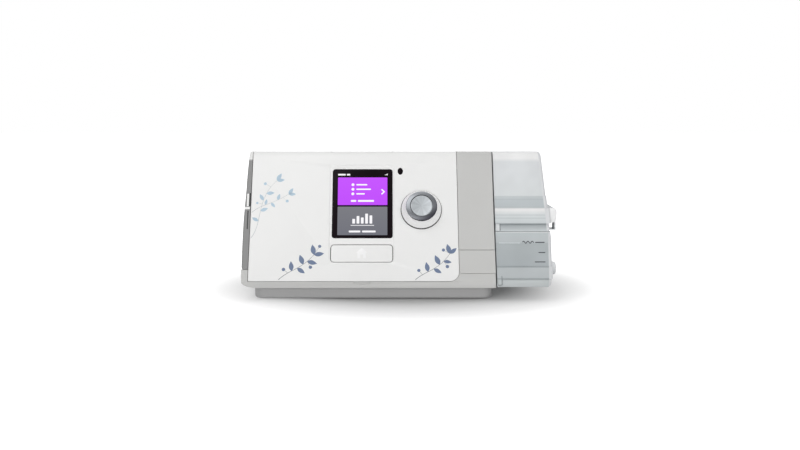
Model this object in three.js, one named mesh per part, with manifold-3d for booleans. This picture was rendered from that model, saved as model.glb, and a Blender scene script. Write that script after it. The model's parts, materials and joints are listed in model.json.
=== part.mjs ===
// A bedside breathing-therapy machine with a docked water tub, in millimetres.
// X runs to the right, -Y towards the user and +Z up; the origin is the middle of the footprint.
import * as THREE from "three";
import { mergeVertices } from "three/addons/utils/BufferGeometryUtils.js";
import Module from "manifold-3d";

const wasm = await Module();
wasm.setup();

// Clearance between pieces that touch, and how far a cutter runs past what it cuts
const GAP = 0.3;
const OVERRUN = 4;

// The casing: the face leans back, the shoulder is the highest line and the top falls to the rear
const BODY = { width: 205, depth: 150, height: 118, wall: 2.5, leanDegrees: 25, coverCorner: 7.7 };
const TOP = { fall: 8, shoulder: 7.7, rearRound: 8, outletStandOff: 8 };
const BAND = { bottom: 11, height: 5.5, cornerHeight: 14, cornerWidth: 12, cornerDrop: 4.5 };
const BLOCK = { width: 29.1 };
const SIDE = { width: 6.4, bulge: 3.8, wall: 3 };
const REAR = { depth: 9 };
const SCALLOP = { acrossShare: 0.5414, width: 15.3, depth: 2.5, reach: 1.2 };

// The pedestal, its feet and screws
const TRAY = { left: 11.6, right: 3.2, front: 10, rear: 5, corner: 9, floor: 2.5 };
const FOOT = { radius: 7, height: 1.7, proud: 0.7, inset: 12 };
const SCREW = { radius: 1.6, head: 3.4, headHeight: 1.8, boss: 5.2, sink: 1.2, inset: 26, tip: 0.5 };

// The front face: places are shares of the cover's width and of the face's length up to the shoulder
const RECESS_SHARES = { left: 0.3788, right: 0.6933, low: 0.1298, high: 0.9366 };
const LENS_SHARES = { left: 0.3948, right: 0.6844, low: 0.3408, high: 0.8983 };
const HOME_SHARES = { left: 0.3895, right: 0.6862, low: 0.1494, high: 0.2876 };
const BOARD_SHARES = { left: 0.3463, right: 0.9255, low: 0.0654, high: 0.9711 };
const SENSOR_SHARES = { across: 0.7237, up: 0.8806 };
const DIAL_SHARES = { across: 0.8239, up: 0.564 };
const START_SHARES = { left: 0.3836, right: 0.6868 };
const LABEL_SHARES = { low: 0.0598, high: 0.2428 };
const RECESS = { depth: 0.8, corner: 5 };
const LENS = { thick: 1.6, corner: 2 };
const DISPLAY = { inset: 2.8 };
const HOME = { thick: 4.4, corner: 2.8, rim: 0.3 };
const PRESS = { travel: 0.6, spare: 0.3 };
const SENSOR = { width: 3.9, height: 5.7, thick: 2.2 };
const KNOB = { foot: 16.3, footHeight: 0.9, neck: 13.1, seat: 8, hub: 5, hollow: 3.6, wall: 1.8 };
const TRIM = { outer: 12.7, inner: 8.8, edge: 0.9, height: 10.4 };
const ENCODER = { shaft: 2, sleeve: 3.6, side: 13, depth: 6, bore: 12, shaftEnd: 11, sleeveEnd: 9.6 };
const BOARD = { depth: 14, thick: 1.6, post: 2.4, inset: 3 };
const START = { lead: 4.6, depth: 14, thick: 4, corner: 3 };
const SWITCH = { side: 6, bridge: 2, bridgeDepth: 9, bridgeWide: 4.6, legs: 3 };
const LABEL = { thick: 1 };

// The left side: two soft flaps, and behind them a memory card and an adapter socket
const FLAP = { behind: 4.80644, depth: 22, lowShare: 0.6186 };
const CARD_HIGH = 10.4;
const ADAPTER_HIGH = 16;
const SIDE_BOARD = { drop: 2.5, thick: 1.6, reach: 33.6, ahead: 6, past: 8, ledge: 5, ledgeWide: 3 };
const CARD = { wide: 24, length: 32, thick: 2.1, shell: 1.6, travel: 1, proud: 3 };
const ADAPTER = { height: 9, depth: 16, length: 22, cavity: 12, wall: 1.5 };

// The rear: filter door, power inlet with its retaining bail, and the air outlet
const FILTER = { left: 22, rightShare: 0.3024, rise: 4.1, fall: 5, frame: 2, depth: 7.3, thick: 5.6 };
const DOOR = { overlap: 3, thick: 2.2, slotShare: 0.4, slots: 4, slotMargin: 6 };
const INLET = { right: 39, width: 30, low: 24, high: 42, depth: 16, wall: 3, proud: 1 };
const PIN = { radius: 1.2, length: 8, placeShare: 1 / 3 };
const BAIL = { thick: 2, drop: 24, rise: 5, out: 3.4, side: 2 };
const LUG = { wide: 3, inset: 4, radius: 2.6 };
const OUTLET = { right: 15, upShare: 0.7797, radius: 11, bore: 9.3, length: 26 };
const FLANGE = { reach: 1.2, thick: 2.2 };

// The blower, by shares of the casing's width and depth
const FAN_SHARES = { across: 0.322, back: 0.6733, radius: 0.2267 };
const FAN = { z: 24, wall: 3, lower: 20, upper: 14, neck: 15, neckHeight: 5 };
const VOLUTE = { lengthShare: 0.2244, width: 16, low: 2, wall: 1.6 };
const WHEEL = { clear: 3, lift: 17, plate: 1.5, blade: 9, hub: 5, blades: 9, bladeThick: 1.4, eye: 11 };
const MOTOR = { radius: 14, height: 11, shaft: 1.7, shaftHeight: 25 };
const MOUNT = { radius: 5, inset: 10, count: 3 };
const MUFFLER = { left: 16, rightShare: 0.4488, frontShare: 0.5667, drop: 15, wall: 2 };

// Boards on the floor and ducts
const MAIN = { left: 14, rightShare: 0.5951, front: 23, rear: 62, lift: 4, thick: 1.6, post: 3, inset: 5 };
const DUCT = { radius: 8, wall: 1.6, straight: 8, swayShare: 0.25, steps: 22 };

// The humidifier bay in the right end, and its heater
const BAY = { reach: 41, front: 35, rear: 17, highShare: 0.6441, wall: 2 };
const HEATER = { side: 4, insulator: 0.8, plate: 1.3 };
const PORT = { drop: 16, inset: 23 };

// The water tub
const TUB = { reach: 51, gap: 1.5, width: 42.5, draft: 3, wall: 2, bottom: 11.8, seam: 54.4 };
const TONGUE = { clear: 1, low: 16.5, drop: 5.5, deck: 1.5 };
const HEAT_PLATE = { inset: 5, thick: 1.4 };
const RIM = { low: 60.5, high: 72.7, proud: 1.5, tabFront: 27, tabRear: 37, lip: 2 };
const SKIRT = { low: 18.2, high: 27.9, proud: 0.7, lugReach: 0.5 };
const SEAL = { depth: 3.4, rise: 1.4, thick: 1.2 };
const HINGE = { radius: 2.8, pin: 1.2, bore: 1.5, standOff: 3.4, rise: 1.6, knuckle: 16, ear: 7.5, link: 4 };

// Places that follow from those sizes
const LEFT = -(BODY.width + TUB.reach) / 2;
const FRONT = -BODY.depth / 2;
const RIGHT = LEFT + BODY.width;
const FOOT_OF_COVER = BAND.bottom + BAND.height;
const REAR_WALL = BODY.depth / 2 - TOP.outletStandOff;
const COVER_LEFT = LEFT + SIDE.width;
const COVER_RIGHT = RIGHT - BLOCK.width - GAP;
const FLOOR = BAND.bottom + BODY.wall;
const TUB_LEFT = RIGHT + TUB.gap;
const TUB_RIGHT = TUB_LEFT + TUB.width;
const LEAN = THREE.MathUtils.degToRad(BODY.leanDegrees);
const TOP_TILT = Math.atan(TOP.fall / (BODY.depth - TOP.outletStandOff));

// The middle of the shoulder's round, and how long the face is below that round
const SHOULDER_Z = BODY.height - TOP.shoulder;
const SHOULDER_Y = FRONT + (SHOULDER_Z - FOOT_OF_COVER) * Math.tan(LEAN) + TOP.shoulder / Math.cos(LEAN);
const FACE_LENGTH = (SHOULDER_Z + TOP.shoulder * Math.sin(LEAN) - FOOT_OF_COVER) / Math.cos(LEAN);

const acrossCover = (share) => COVER_LEFT + share * (COVER_RIGHT - COVER_LEFT);
const upFace = (share) => share * FACE_LENGTH;
const faceSpan = ({ left, right, low, high }) => ({
  left: acrossCover(left), right: acrossCover(right), low: upFace(low), high: upFace(high) });

const recessSpan = { ...faceSpan(RECESS_SHARES), corner: RECESS.corner };
const lensSpan = { ...faceSpan(LENS_SHARES), corner: LENS.corner };
const homeSpan = { ...faceSpan(HOME_SHARES), corner: HOME.corner };
const boardSpan = faceSpan(BOARD_SHARES);
const startSpan = {
  left: acrossCover(START_SHARES.left), right: acrossCover(START_SHARES.right),
  front: SHOULDER_Y - START.lead, rear: SHOULDER_Y - START.lead + START.depth };
const labelSpan = { low: upFace(LABEL_SHARES.low), high: upFace(LABEL_SHARES.high) };
const sensorAt = [acrossCover(SENSOR_SHARES.across), upFace(SENSOR_SHARES.up)];
const dialAt = [acrossCover(DIAL_SHARES.across), upFace(DIAL_SHARES.up)];

const cardFlapLow = FLAP.lowShare * BODY.height;
const CARD_FLAP = { low: cardFlapLow, high: cardFlapLow + CARD_HIGH };
const ADAPTER_FLAP = { low: cardFlapLow - GAP * 2 - ADAPTER_HIGH, high: cardFlapLow - GAP * 2 };
const flapFront = FRONT + (CARD_FLAP.high - FOOT_OF_COVER) * Math.tan(LEAN) + FLAP.behind;
const flapSpan = [flapFront, flapFront + FLAP.depth];
const sideBoardZ = cardFlapLow - SIDE_BOARD.drop;
const sideBoardX = [COVER_LEFT, COVER_LEFT + SIDE_BOARD.reach];
const sideBoardY = [flapSpan[0] - SIDE_BOARD.ahead, flapSpan[1] + SIDE_BOARD.past];

const FAN_X = LEFT + FAN_SHARES.across * BODY.width;
const FAN_Y = FRONT + FAN_SHARES.back * BODY.depth;
const FAN_RADIUS = FAN_SHARES.radius * BODY.depth;
const mufflerX = [LEFT + MUFFLER.left, LEFT + MUFFLER.rightShare * BODY.width];
const mufflerFront = FRONT + MUFFLER.frontShare * BODY.depth;
const mufflerZ = [FAN.z + FAN.lower + FAN.upper + FAN.neckHeight + GAP * 2, BODY.height - MUFFLER.drop];
const filterX = [LEFT + FILTER.left, LEFT + FILTER.rightShare * BODY.width];
const filterZ = [mufflerZ[0] + FILTER.rise, mufflerZ[1] - FILTER.fall];
const inletX = [RIGHT - INLET.right - INLET.width, RIGHT - INLET.right];
const OUTLET_X = RIGHT - OUTLET.right;
const OUTLET_Z = OUTLET.upShare * BODY.height;

const BAY_LEFT = RIGHT - BAY.reach;
const BAY_HIGH = BAY.highShare * BODY.height;
const bayY = [FRONT + BAY.front, REAR_WALL - BAY.rear];
const PORT_Z = BAY_HIGH - PORT.drop;
const portY = [bayY[0] + PORT.inset, bayY[1] - PORT.inset];
const TONGUE_HIGH = BAY_HIGH - TONGUE.drop;
const tabY = [FRONT + RIM.tabFront, REAR_WALL - RIM.tabRear];
const mainSpan = {
  left: LEFT + MAIN.left, right: LEFT + MAIN.rightShare * BODY.width,
  front: FRONT + MAIN.front, rear: FRONT + MAIN.rear, inset: MAIN.inset };

const X_AXIS = new THREE.Vector3(1, 0, 0);
const Y_AXIS = new THREE.Vector3(0, 1, 0);
const Z_AXIS = new THREE.Vector3(0, 0, 1);

// Solids and booleans
function solid(geometry) {
  const bare = geometry.index ? geometry.clone() : geometry;
  bare.deleteAttribute("normal");
  bare.deleteAttribute("uv");
  const merged = mergeVertices(bare);
  const vertProperties = merged.attributes.position.array;
  const triVerts = new Uint32Array(merged.index.array);
  return new wasm.Manifold(new wasm.Mesh({ numProp: 3, vertProperties, triVerts }));
}

function geometryOf(body) {
  const { vertProperties, triVerts, numProp } = body.getMesh();
  const geometry = new THREE.BufferGeometry();
  const places = new Float32Array((vertProperties.length / numProp) * 3);
  for (let i = 0, j = 0; i < vertProperties.length; i += numProp, j += 3) {
    places.set(vertProperties.subarray(i, i + 3), j);
  }
  geometry.setAttribute("position", new THREE.BufferAttribute(places, 3));
  geometry.setIndex(new THREE.BufferAttribute(new Uint32Array(triVerts), 1));
  geometry.computeVertexNormals();
  return geometry;
}

const cut = (body, ...tools) => tools.reduce((rest, tool) => rest.subtract(tool), body);
const join = (...bodies) => bodies.reduce((whole, body) => whole.add(body));
const keep = (body, ...masks) => masks.reduce((rest, mask) => rest.intersect(mask), body);

// Simple solids, each from its lowest to its highest coordinate
function block([x0, x1], [y0, y1], [z0, z1]) {
  const box = new THREE.BoxGeometry(x1 - x0, y1 - y0, z1 - z0);
  return solid(box.translate((x0 + x1) / 2, (y0 + y1) / 2, (z0 + z1) / 2));
}

function extrude(shape, depth, curveSegments = 6) {
  return new THREE.ExtrudeGeometry(shape, { depth, bevelEnabled: false, curveSegments });
}

// A shape drawn in Y and Z, run along X
function alongX(shape, from, to) {
  const turn = new THREE.Matrix4().makeBasis(Y_AXIS, Z_AXIS, X_AXIS);
  return solid(extrude(shape, to - from).applyMatrix4(turn).translate(from, 0, 0));
}

// A shape drawn in X and Z, run along Y
function alongY(shape, from, to) {
  return solid(extrude(shape, to - from).rotateX(Math.PI / 2).translate(0, to, 0));
}

// A shape drawn in X and Y, run along Z
const alongZ = (shape, from, to) => solid(extrude(shape, to - from).translate(0, 0, from));

function polygon(points) {
  return new THREE.Shape(points.map(([a, b]) => new THREE.Vector2(a, b)));
}

// A rectangle with round corners, by its edges
function roundRect(left, right, low, high, radius) {
  const shape = new THREE.Shape();
  const r = Math.min(radius, (right - left) / 2, (high - low) / 2);
  shape.absarc(left + r, low + r, r, Math.PI, Math.PI * 1.5);
  shape.absarc(right - r, low + r, r, Math.PI * 1.5, Math.PI * 2);
  shape.absarc(right - r, high - r, r, 0, Math.PI / 2);
  shape.absarc(left + r, high - r, r, Math.PI / 2, Math.PI);
  return shape;
}

// A turned solid about Z: its profile holds radius and height pairs, outside first going up
function turned(profile, sides = 32) {
  const points = profile.map(([radius, height]) => new THREE.Vector2(radius, height));
  const lathe = new THREE.LatheGeometry(profile[0][0] > 0 ? [...points, points[0]] : points, sides);
  return solid(lathe.rotateX(Math.PI / 2));
}

const rod = (radius, from, to, sides = 24) =>
  turned([[0, from], [radius, from], [radius, to], [0, to]], sides);

const sleeve = (outer, inner, from, to, sides = 32) =>
  turned([[inner, from], [outer, from], [outer, to], [inner, to]], sides);

const moved = (body, x, y, z) => body.translate([x, y, z]);
const aboutX = (body, degrees) => body.rotate([degrees, 0, 0]);
const aboutY = (body, degrees) => body.rotate([0, degrees, 0]);

// The height of the machine's top at a place along Y
const topAt = (y) => SHOULDER_Z + TOP.shoulder / Math.cos(TOP_TILT) - (y - SHOULDER_Y) * Math.tan(TOP_TILT);

// The side outline of the whole machine, drawn in Y and Z and moved in by an inset
function sideOutline(inset, bottom) {
  const frontY = FRONT + inset / Math.cos(LEAN) + (bottom - FOOT_OF_COVER) * Math.tan(LEAN);
  const rearRoundY = REAR_WALL - TOP.rearRound;
  const rearRoundZ = topAt(rearRoundY) - TOP.rearRound / Math.cos(TOP_TILT);
  const topTurn = Math.PI / 2 - TOP_TILT;
  const shape = new THREE.Shape();
  shape.absarc(rearRoundY, rearRoundZ, TOP.rearRound - inset, 0, topTurn);
  shape.absarc(SHOULDER_Y, SHOULDER_Z, TOP.shoulder - inset, topTurn, Math.PI - LEAN);
  if (bottom < FOOT_OF_COVER) {
    shape.lineTo(FRONT + inset / Math.cos(LEAN), FOOT_OF_COVER);
    shape.lineTo(FRONT + inset / Math.cos(LEAN), bottom);
  } else {
    shape.lineTo(frontY, bottom);
  }
  shape.lineTo(REAR_WALL - inset, bottom);
  return shape;
}

const profileX = (inset, bottom, from, to) => alongX(sideOutline(inset, bottom), from, to);

const ALL_Y = [FRONT - OVERRUN, BODY.depth / 2 + OVERRUN];
const ALL_Z = [-OVERRUN, BODY.height + OVERRUN];

// Face pieces are drawn flat, with Z outward, and then laid on the leaning face
const FACE_TURN = 90 - BODY.leanDegrees;
const onFace = (body) => moved(aboutX(body, FACE_TURN), 0, FRONT, FOOT_OF_COVER);

// What bounds the bulging left end, seen from the front
function leftBulge() {
  const shape = new THREE.Shape();
  shape.moveTo(RIGHT + OVERRUN, BAND.bottom);
  shape.lineTo(RIGHT + OVERRUN, BODY.height + OVERRUN);
  shape.lineTo(LEFT + SIDE.bulge, BODY.height + OVERRUN);
  shape.quadraticCurveTo(LEFT, BODY.height / 2, LEFT, BAND.bottom + BAND.cornerDrop);
  shape.quadraticCurveTo(LEFT, BAND.bottom, LEFT + BAND.cornerWidth, BAND.bottom);
  return alongY(shape, ...ALL_Y);
}

const looks = {};
function look(color, roughness, metalness = 0, opacity = 1) {
  const key = [color, roughness, metalness, opacity].join();
  const clear = opacity < 1;
  looks[key] ??= new THREE.MeshStandardMaterial(
    { color, roughness, metalness, opacity, transparent: clear });
  return looks[key];
}

const WHITE = look(0xf3f3f2, 0.35);
const LIGHT_GREY = look(0xc8c8c6, 0.4);
const MID_GREY = look(0x9f9f9f, 0.45);
const DARK_GREY = look(0x8a8a8a, 0.55);
const BLACK = look(0x141113, 0.1);
const BLACK_PLASTIC = look(0x2a2a2b, 0.5);
const RUBBER = look(0x3b3b3c, 0.9);
const METAL = look(0xc9ccd0, 0.25, 1);
const BOARD_GREEN = look(0x1f5a3c, 0.6);
const CLEAR = look(0xd9e2e8, 0.12, 0, 0.4);
const FOAM = look(0xe8e8e4, 0.95);
const CREAM = look(0xdcdad2, 0.5);

function mesh(name, body, material) {
  const piece = new THREE.Mesh(geometryOf(body), material);
  piece.name = name;
  return piece;
}

function group(...pieces) {
  const whole = new THREE.Group();
  whole.add(...pieces);
  return whole;
}

// The white cover: face and top in one bent shell, with the openings of the controls
function faceOpenings() {
  const through = -BODY.wall - OVERRUN;
  const hole = ({ left, right, low, high, corner }) =>
    alongZ(roundRect(left - GAP, right + GAP, low - GAP, high + GAP, corner + GAP), through, OVERRUN);
  const recess = plateOf(recessSpan, -RECESS.depth, OVERRUN);
  const dial = moved(rod(ENCODER.sleeve + GAP * 2, through, OVERRUN, 24), ...dialAt, 0);
  const sensor = moved(
    oval(SENSOR.width / 2 + GAP, SENSOR.height / 2 + GAP, through, OVERRUN), ...sensorAt, 0);
  const corner = alongZ(cornerShape(0, OVERRUN, OVERRUN), through, OVERRUN);
  return [recess, hole(lensSpan), hole(homeSpan), dial, sensor, corner].map(onFace);
}

// The cover's lower right corner is round: this is what it leaves, out to two sides
function cornerShape(spread, right, down) {
  const radius = BODY.coverCorner + spread;
  const x = COVER_RIGHT - BODY.coverCorner;
  const shape = new THREE.Shape();
  shape.absarc(x, BODY.coverCorner, radius, -Math.PI / 2, 0);
  shape.lineTo(x + radius + right, BODY.coverCorner);
  shape.lineTo(x + radius + right, -spread - down);
  shape.lineTo(x, -spread - down);
  return shape;
}

function oval(halfWidth, halfHeight, from, to) {
  const shape = new THREE.Shape();
  shape.absellipse(0, 0, halfWidth, halfHeight, 0, Math.PI * 2);
  return alongZ(shape, from, to);
}

const startColumn = (spread) => alongZ(
  roundRect(startSpan.left - spread, startSpan.right + spread, startSpan.front - spread,
    startSpan.rear + spread, START.corner + spread), FLOOR, BODY.height + OVERRUN);
const startY = (startSpan.front + startSpan.rear) / 2;

// A bar under the start button, hung from the cover on two legs, carries its switch
function startBridge() {
  const top = topAt(startY);
  const barTop = top - SWITCH.bridgeDepth;
  const y = [startY - SWITCH.bridgeWide / 2, startY + SWITCH.bridgeWide / 2];
  const left = startSpan.left - GAP - SWITCH.legs;
  const right = startSpan.right + GAP + SWITCH.legs;
  const bar = block([left, right], y, [barTop - SWITCH.bridge, barTop]);
  const legTop = top - BODY.wall / 2;
  const leg = (x) => block([x, x + SWITCH.legs], y, [barTop - SWITCH.bridge, legTop]);
  return join(bar, leg(left), leg(right - SWITCH.legs));
}

function boardPosts() {
  const back = -BOARD.depth + GAP;
  const xs = [boardSpan.left + BOARD.inset, boardSpan.right - BOARD.inset];
  const ups = [boardSpan.low + BOARD.inset, boardSpan.high - BOARD.inset];
  const post = (x, up) => onFace(moved(rod(BOARD.post, back, -BODY.wall / 2, 12), x, up, 0));
  return xs.flatMap((x) => ups.map((up) => post(x, up)));
}

function frontTopCover() {
  const outer = profileX(0, FOOT_OF_COVER, COVER_LEFT, COVER_RIGHT);
  const inner = profileX(BODY.wall, FOOT_OF_COVER - OVERRUN, COVER_LEFT - OVERRUN, COVER_RIGHT + OVERRUN);
  const front = block([LEFT, RIGHT], [ALL_Y[0], REAR_WALL - REAR.depth - GAP], ALL_Z);
  const shell = cut(keep(cut(outer, inner), front), startColumn(GAP));
  return cut(join(shell, startBridge(), ...boardPosts()), ...faceOpenings());
}

// The light grey housing: floor and low band all round, and the full block at the right end
function mainHousing() {
  const outer = keep(profileX(0, BAND.bottom, LEFT, RIGHT), leftBulge());
  const hollow = profileX(BODY.wall, FLOOR, LEFT + BODY.wall, RIGHT - BODY.wall);
  const aboveBand = [FOOT_OF_COVER - GAP, ALL_Z[1]];
  const coverSpace = block([COVER_LEFT - GAP, COVER_RIGHT + GAP], ALL_Y, aboveBand);
  const sideSpace = block([LEFT - OVERRUN, COVER_LEFT], ALL_Y,
    [FOOT_OF_COVER + BAND.cornerHeight - BAND.height, ALL_Z[1]]);
  const mouth = block([RIGHT - BODY.wall - OVERRUN, RIGHT + OVERRUN],
    [bayY[0] + BAY.wall, bayY[1] - BAY.wall], [FLOOR, BAY_HIGH - BAY.wall]);
  const bare = join(cut(outer, hollow, coverSpace, sideSpace, mouth), keep(coverCornerFill(), outer));
  const shell = cut(bare, labelPocket(), scallop(), outletHole());
  return cut(join(shell, ...mainBoardPosts()), ...screwPlaces().map(([x, y]) =>
    moved(rod(SCREW.radius + GAP, ALL_Z[0], FLOOR + OVERRUN, 12), x, y, 0)));
}

// Where the cover's corner is round, the housing fills the face
const coverCornerFill = () => onFace(alongZ(cornerShape(GAP, BODY.wall, GAP), -BODY.wall, 0));

const labelPocket = () => onFace(block([RIGHT - BLOCK.width - GAP, RIGHT + OVERRUN],
  [labelSpan.low - GAP, labelSpan.high + GAP], [-LABEL.thick - GAP, OVERRUN]));

function scallop() {
  const half = SCALLOP.width / 2;
  const x = acrossCover(SCALLOP.acrossShare);
  const top = FOOT_OF_COVER + OVERRUN;
  const low = FOOT_OF_COVER - GAP - SCALLOP.depth;
  const shape = polygon([[x - half, top], [x - half + SCALLOP.depth, low],
    [x + half - SCALLOP.depth, low], [x + half, top]]);
  return alongY(shape, FRONT - OVERRUN, FRONT + SCALLOP.reach);
}

const alongYRod = (radius, from, to, x, z, sides = 24) =>
  moved(aboutX(rod(radius, -to, -from, sides), 90), x, 0, z);
const outletHole = () => alongYRod(OUTLET.radius + GAP, REAR_WALL - BODY.wall - OVERRUN,
  REAR_WALL + OVERRUN, OUTLET_X, OUTLET_Z, 32);

const boardCorners = ({ left, right, front, rear, inset }) =>
  [left + inset, right - inset].flatMap((x) => [front + inset, rear - inset].map((y) => [x, y]));
const mainBoardPosts = () => boardCorners(mainSpan).map(([x, y]) =>
  moved(rod(MAIN.post, BAND.bottom + BODY.wall / 2, FLOOR + MAIN.lift, 12), x, y, 0));
const mainBoard = () => block([mainSpan.left, mainSpan.right], [mainSpan.front, mainSpan.rear],
  [FLOOR + MAIN.lift + GAP, FLOOR + MAIN.lift + GAP + MAIN.thick]);

// The left end cap with its two windows and the ledges that hold the side board
const flapBlock = ({ low, high }, spread, from, to) => block(
  [from, to], [flapSpan[0] - spread, flapSpan[1] + spread], [low - spread, high + spread]);

function leftSidePanel() {
  const bottom = FOOT_OF_COVER + BAND.cornerHeight - BAND.height + GAP;
  const outer = keep(profileX(0, bottom, LEFT, COVER_LEFT - GAP), leftBulge());
  const inner = profileX(BODY.wall, bottom - OVERRUN, LEFT + SIDE.bulge + SIDE.wall / 2, COVER_LEFT);
  const windows = [CARD_FLAP, ADAPTER_FLAP].map((flap) =>
    flapBlock(flap, GAP, LEFT - OVERRUN, COVER_LEFT));
  const ledge = (y) => block([LEFT + SIDE.bulge, sideBoardX[1] - SIDE_BOARD.ledge],
    [y, y + SIDE_BOARD.ledgeWide], [sideBoardZ - GAP - SIDE_BOARD.ledge, sideBoardZ - GAP]);
  const ledges = [ledge(sideBoardY[0]), ledge(sideBoardY[1] - SIDE_BOARD.ledgeWide)];
  return cut(join(cut(outer, inner), ...ledges), ...windows);
}

function sideFlap(flap) {
  const skin = profileX(0, flap.low, LEFT, COVER_LEFT);
  const inner = LEFT + SIDE.bulge + SIDE.wall / 2 - GAP;
  return keep(skin, leftBulge(), flapBlock(flap, 0, LEFT, inner));
}

function rearPanel() {
  const outer = profileX(0, FOOT_OF_COVER, COVER_LEFT, COVER_RIGHT);
  const inner = profileX(BODY.wall, FOOT_OF_COVER - OVERRUN, COVER_LEFT - OVERRUN, COVER_RIGHT + OVERRUN);
  const rear = block([LEFT, RIGHT], [REAR_WALL - REAR.depth, ALL_Y[1]], ALL_Z);
  const frameY = [REAR_WALL - FILTER.depth - FILTER.frame, REAR_WALL - BODY.wall / 2];
  const around = (span, by) => [span[0] - by, span[1] + by];
  const frame = block(around(filterX, FILTER.frame), frameY, around(filterZ, FILTER.frame));
  const window = block(filterX, ALL_Y, filterZ);
  const half = FILTER.frame / 2;
  const back = block(around(filterX, half), [frameY[0], frameY[0] + FILTER.frame], around(filterZ, half));
  const grille = cut(back, ...grilleSlots(frameY));
  const socketHole = block(around(inletX, GAP), ALL_Y, [INLET.low - GAP, INLET.high + GAP]);
  return join(cut(join(keep(cut(outer, inner), rear), frame), window, socketHole), grille, ...bailLugs());
}

function grilleSlots(span) {
  const count = DOOR.slots;
  const pitch = (filterX[1] - filterX[0]) / count;
  const rib = FILTER.frame / 2;
  return Array.from({ length: count }, (_, i) => block(
    [filterX[0] + i * pitch + rib, filterX[0] + (i + 1) * pitch - rib],
    [span[0] - OVERRUN, span[1]], [filterZ[0] + rib, filterZ[1] - rib]));
}

// The controls, in the leaning face's own frame
const plateOf = ({ left, right, low, high, corner }, from, to) =>
  alongZ(roundRect(left, right, low, high, corner), from, to);
const lensBack = -RECESS.depth - LENS.thick;
const homeBack = -RECESS.depth - HOME.thick;
const onBoard = -BOARD.depth + GAP;
const knobBottom = PRESS.travel + PRESS.spare;

function dialGroup() {
  const shaftBore = ENCODER.shaft + GAP;
  const hollow = knobBottom + KNOB.hollow;
  const skirt = turned([[shaftBore, knobBottom], [KNOB.hub, knobBottom], [KNOB.hub, hollow],
    [KNOB.neck - KNOB.wall, hollow], [KNOB.foot - KNOB.wall, knobBottom], [KNOB.foot, knobBottom],
    [KNOB.foot, knobBottom + KNOB.footHeight], [KNOB.neck, KNOB.seat], [shaftBore, KNOB.seat]], 48);
  const trimLow = KNOB.seat + GAP;
  const ring = turned([[TRIM.inner + GAP, trimLow], [TRIM.outer, trimLow], [TRIM.outer, trimLow + TRIM.edge],
    [TRIM.inner + GAP, TRIM.height]], 48);
  const half = ENCODER.side / 2;
  const casing = cut(block([-half, half], [-half, half], [onBoard, -ENCODER.depth]),
    rod(ENCODER.sleeve + GAP, -ENCODER.bore, OVERRUN, 16));
  const whole = group(
    mesh("dial_skirt", skirt, WHITE),
    mesh("dial_ring", ring, METAL),
    mesh("dial_face", rod(TRIM.inner, trimLow, TRIM.height, 40), METAL),
    mesh("encoder_shaft", rod(ENCODER.shaft, -ENCODER.shaftEnd, KNOB.seat, 16), METAL),
    mesh("encoder_sleeve",
      sleeve(ENCODER.sleeve, shaftBore, -ENCODER.sleeveEnd, knobBottom - GAP, 16), BLACK_PLASTIC),
    mesh("encoder_body", casing, BLACK_PLASTIC));
  whole.position.set(...dialAt, 0);
  return whole;
}

function faceGroup() {
  const d = DISPLAY.inset;
  const screen = block([lensSpan.left + d, lensSpan.right - d], [lensSpan.low + d, lensSpan.high - d],
    [onBoard, lensBack - GAP]);
  const middle = (homeSpan.left + homeSpan.right) / 2;
  const half = SWITCH.side / 2;
  const homeUp = (homeSpan.low + homeSpan.high) / 2;
  const switchTop = homeBack - PRESS.travel - PRESS.spare;
  const sensor = mesh("light_sensor_window",
    oval(SENSOR.width / 2, SENSOR.height / 2, -SENSOR.thick, 0), BLACK);
  sensor.position.set(...sensorAt, 0);
  const whole = group(
    mesh("display_lens", plateOf(lensSpan, lensBack, -RECESS.depth), BLACK),
    mesh("display_module", screen, BLACK_PLASTIC),
    mesh("home_button", plateOf(homeSpan, homeBack, HOME.rim - RECESS.depth), WHITE),
    mesh("home_switch", block([middle - half, middle + half], [homeUp - half, homeUp + half],
      [onBoard, switchTop]), BLACK_PLASTIC),
    mesh("ui_board", block([boardSpan.left, boardSpan.right], [boardSpan.low, boardSpan.high],
      [-BOARD.depth - BOARD.thick, -BOARD.depth]), BOARD_GREEN),
    mesh("label_plate", block([RIGHT - BLOCK.width, RIGHT], [labelSpan.low, labelSpan.high],
      [-LABEL.thick, 0]), LIGHT_GREY),
    sensor,
    dialGroup());
  whole.position.set(0, FRONT, FOOT_OF_COVER);
  whole.rotation.x = THREE.MathUtils.degToRad(FACE_TURN);
  return whole;
}

function startButton() {
  const skin = cut(profileX(0, FOOT_OF_COVER, COVER_LEFT, COVER_RIGHT),
    profileX(START.thick, FOOT_OF_COVER - OVERRUN, COVER_LEFT - OVERRUN, COVER_RIGHT + OVERRUN));
  return keep(skin, startColumn(0));
}

function startSwitch() {
  const half = SWITCH.side / 2;
  const x = (startSpan.left + startSpan.right) / 2;
  const low = topAt(startY) - SWITCH.bridgeDepth + GAP;
  const high = topAt(startY + half) - START.thick / Math.cos(TOP_TILT) - PRESS.travel - PRESS.spare;
  return block([x - half, x + half], [startY - half, startY + half], [low, high]);
}

// The left side: board, card in its socket, adapter socket
const capInside = LEFT + SIDE.bulge + SIDE.wall / 2;
const flapMiddle = (flapSpan[0] + flapSpan[1]) / 2;
const cardLow = sideBoardZ + SIDE_BOARD.thick + GAP + CARD.shell + GAP;
const slotEnd = capInside + CARD.length + CARD.travel + GAP;

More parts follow.
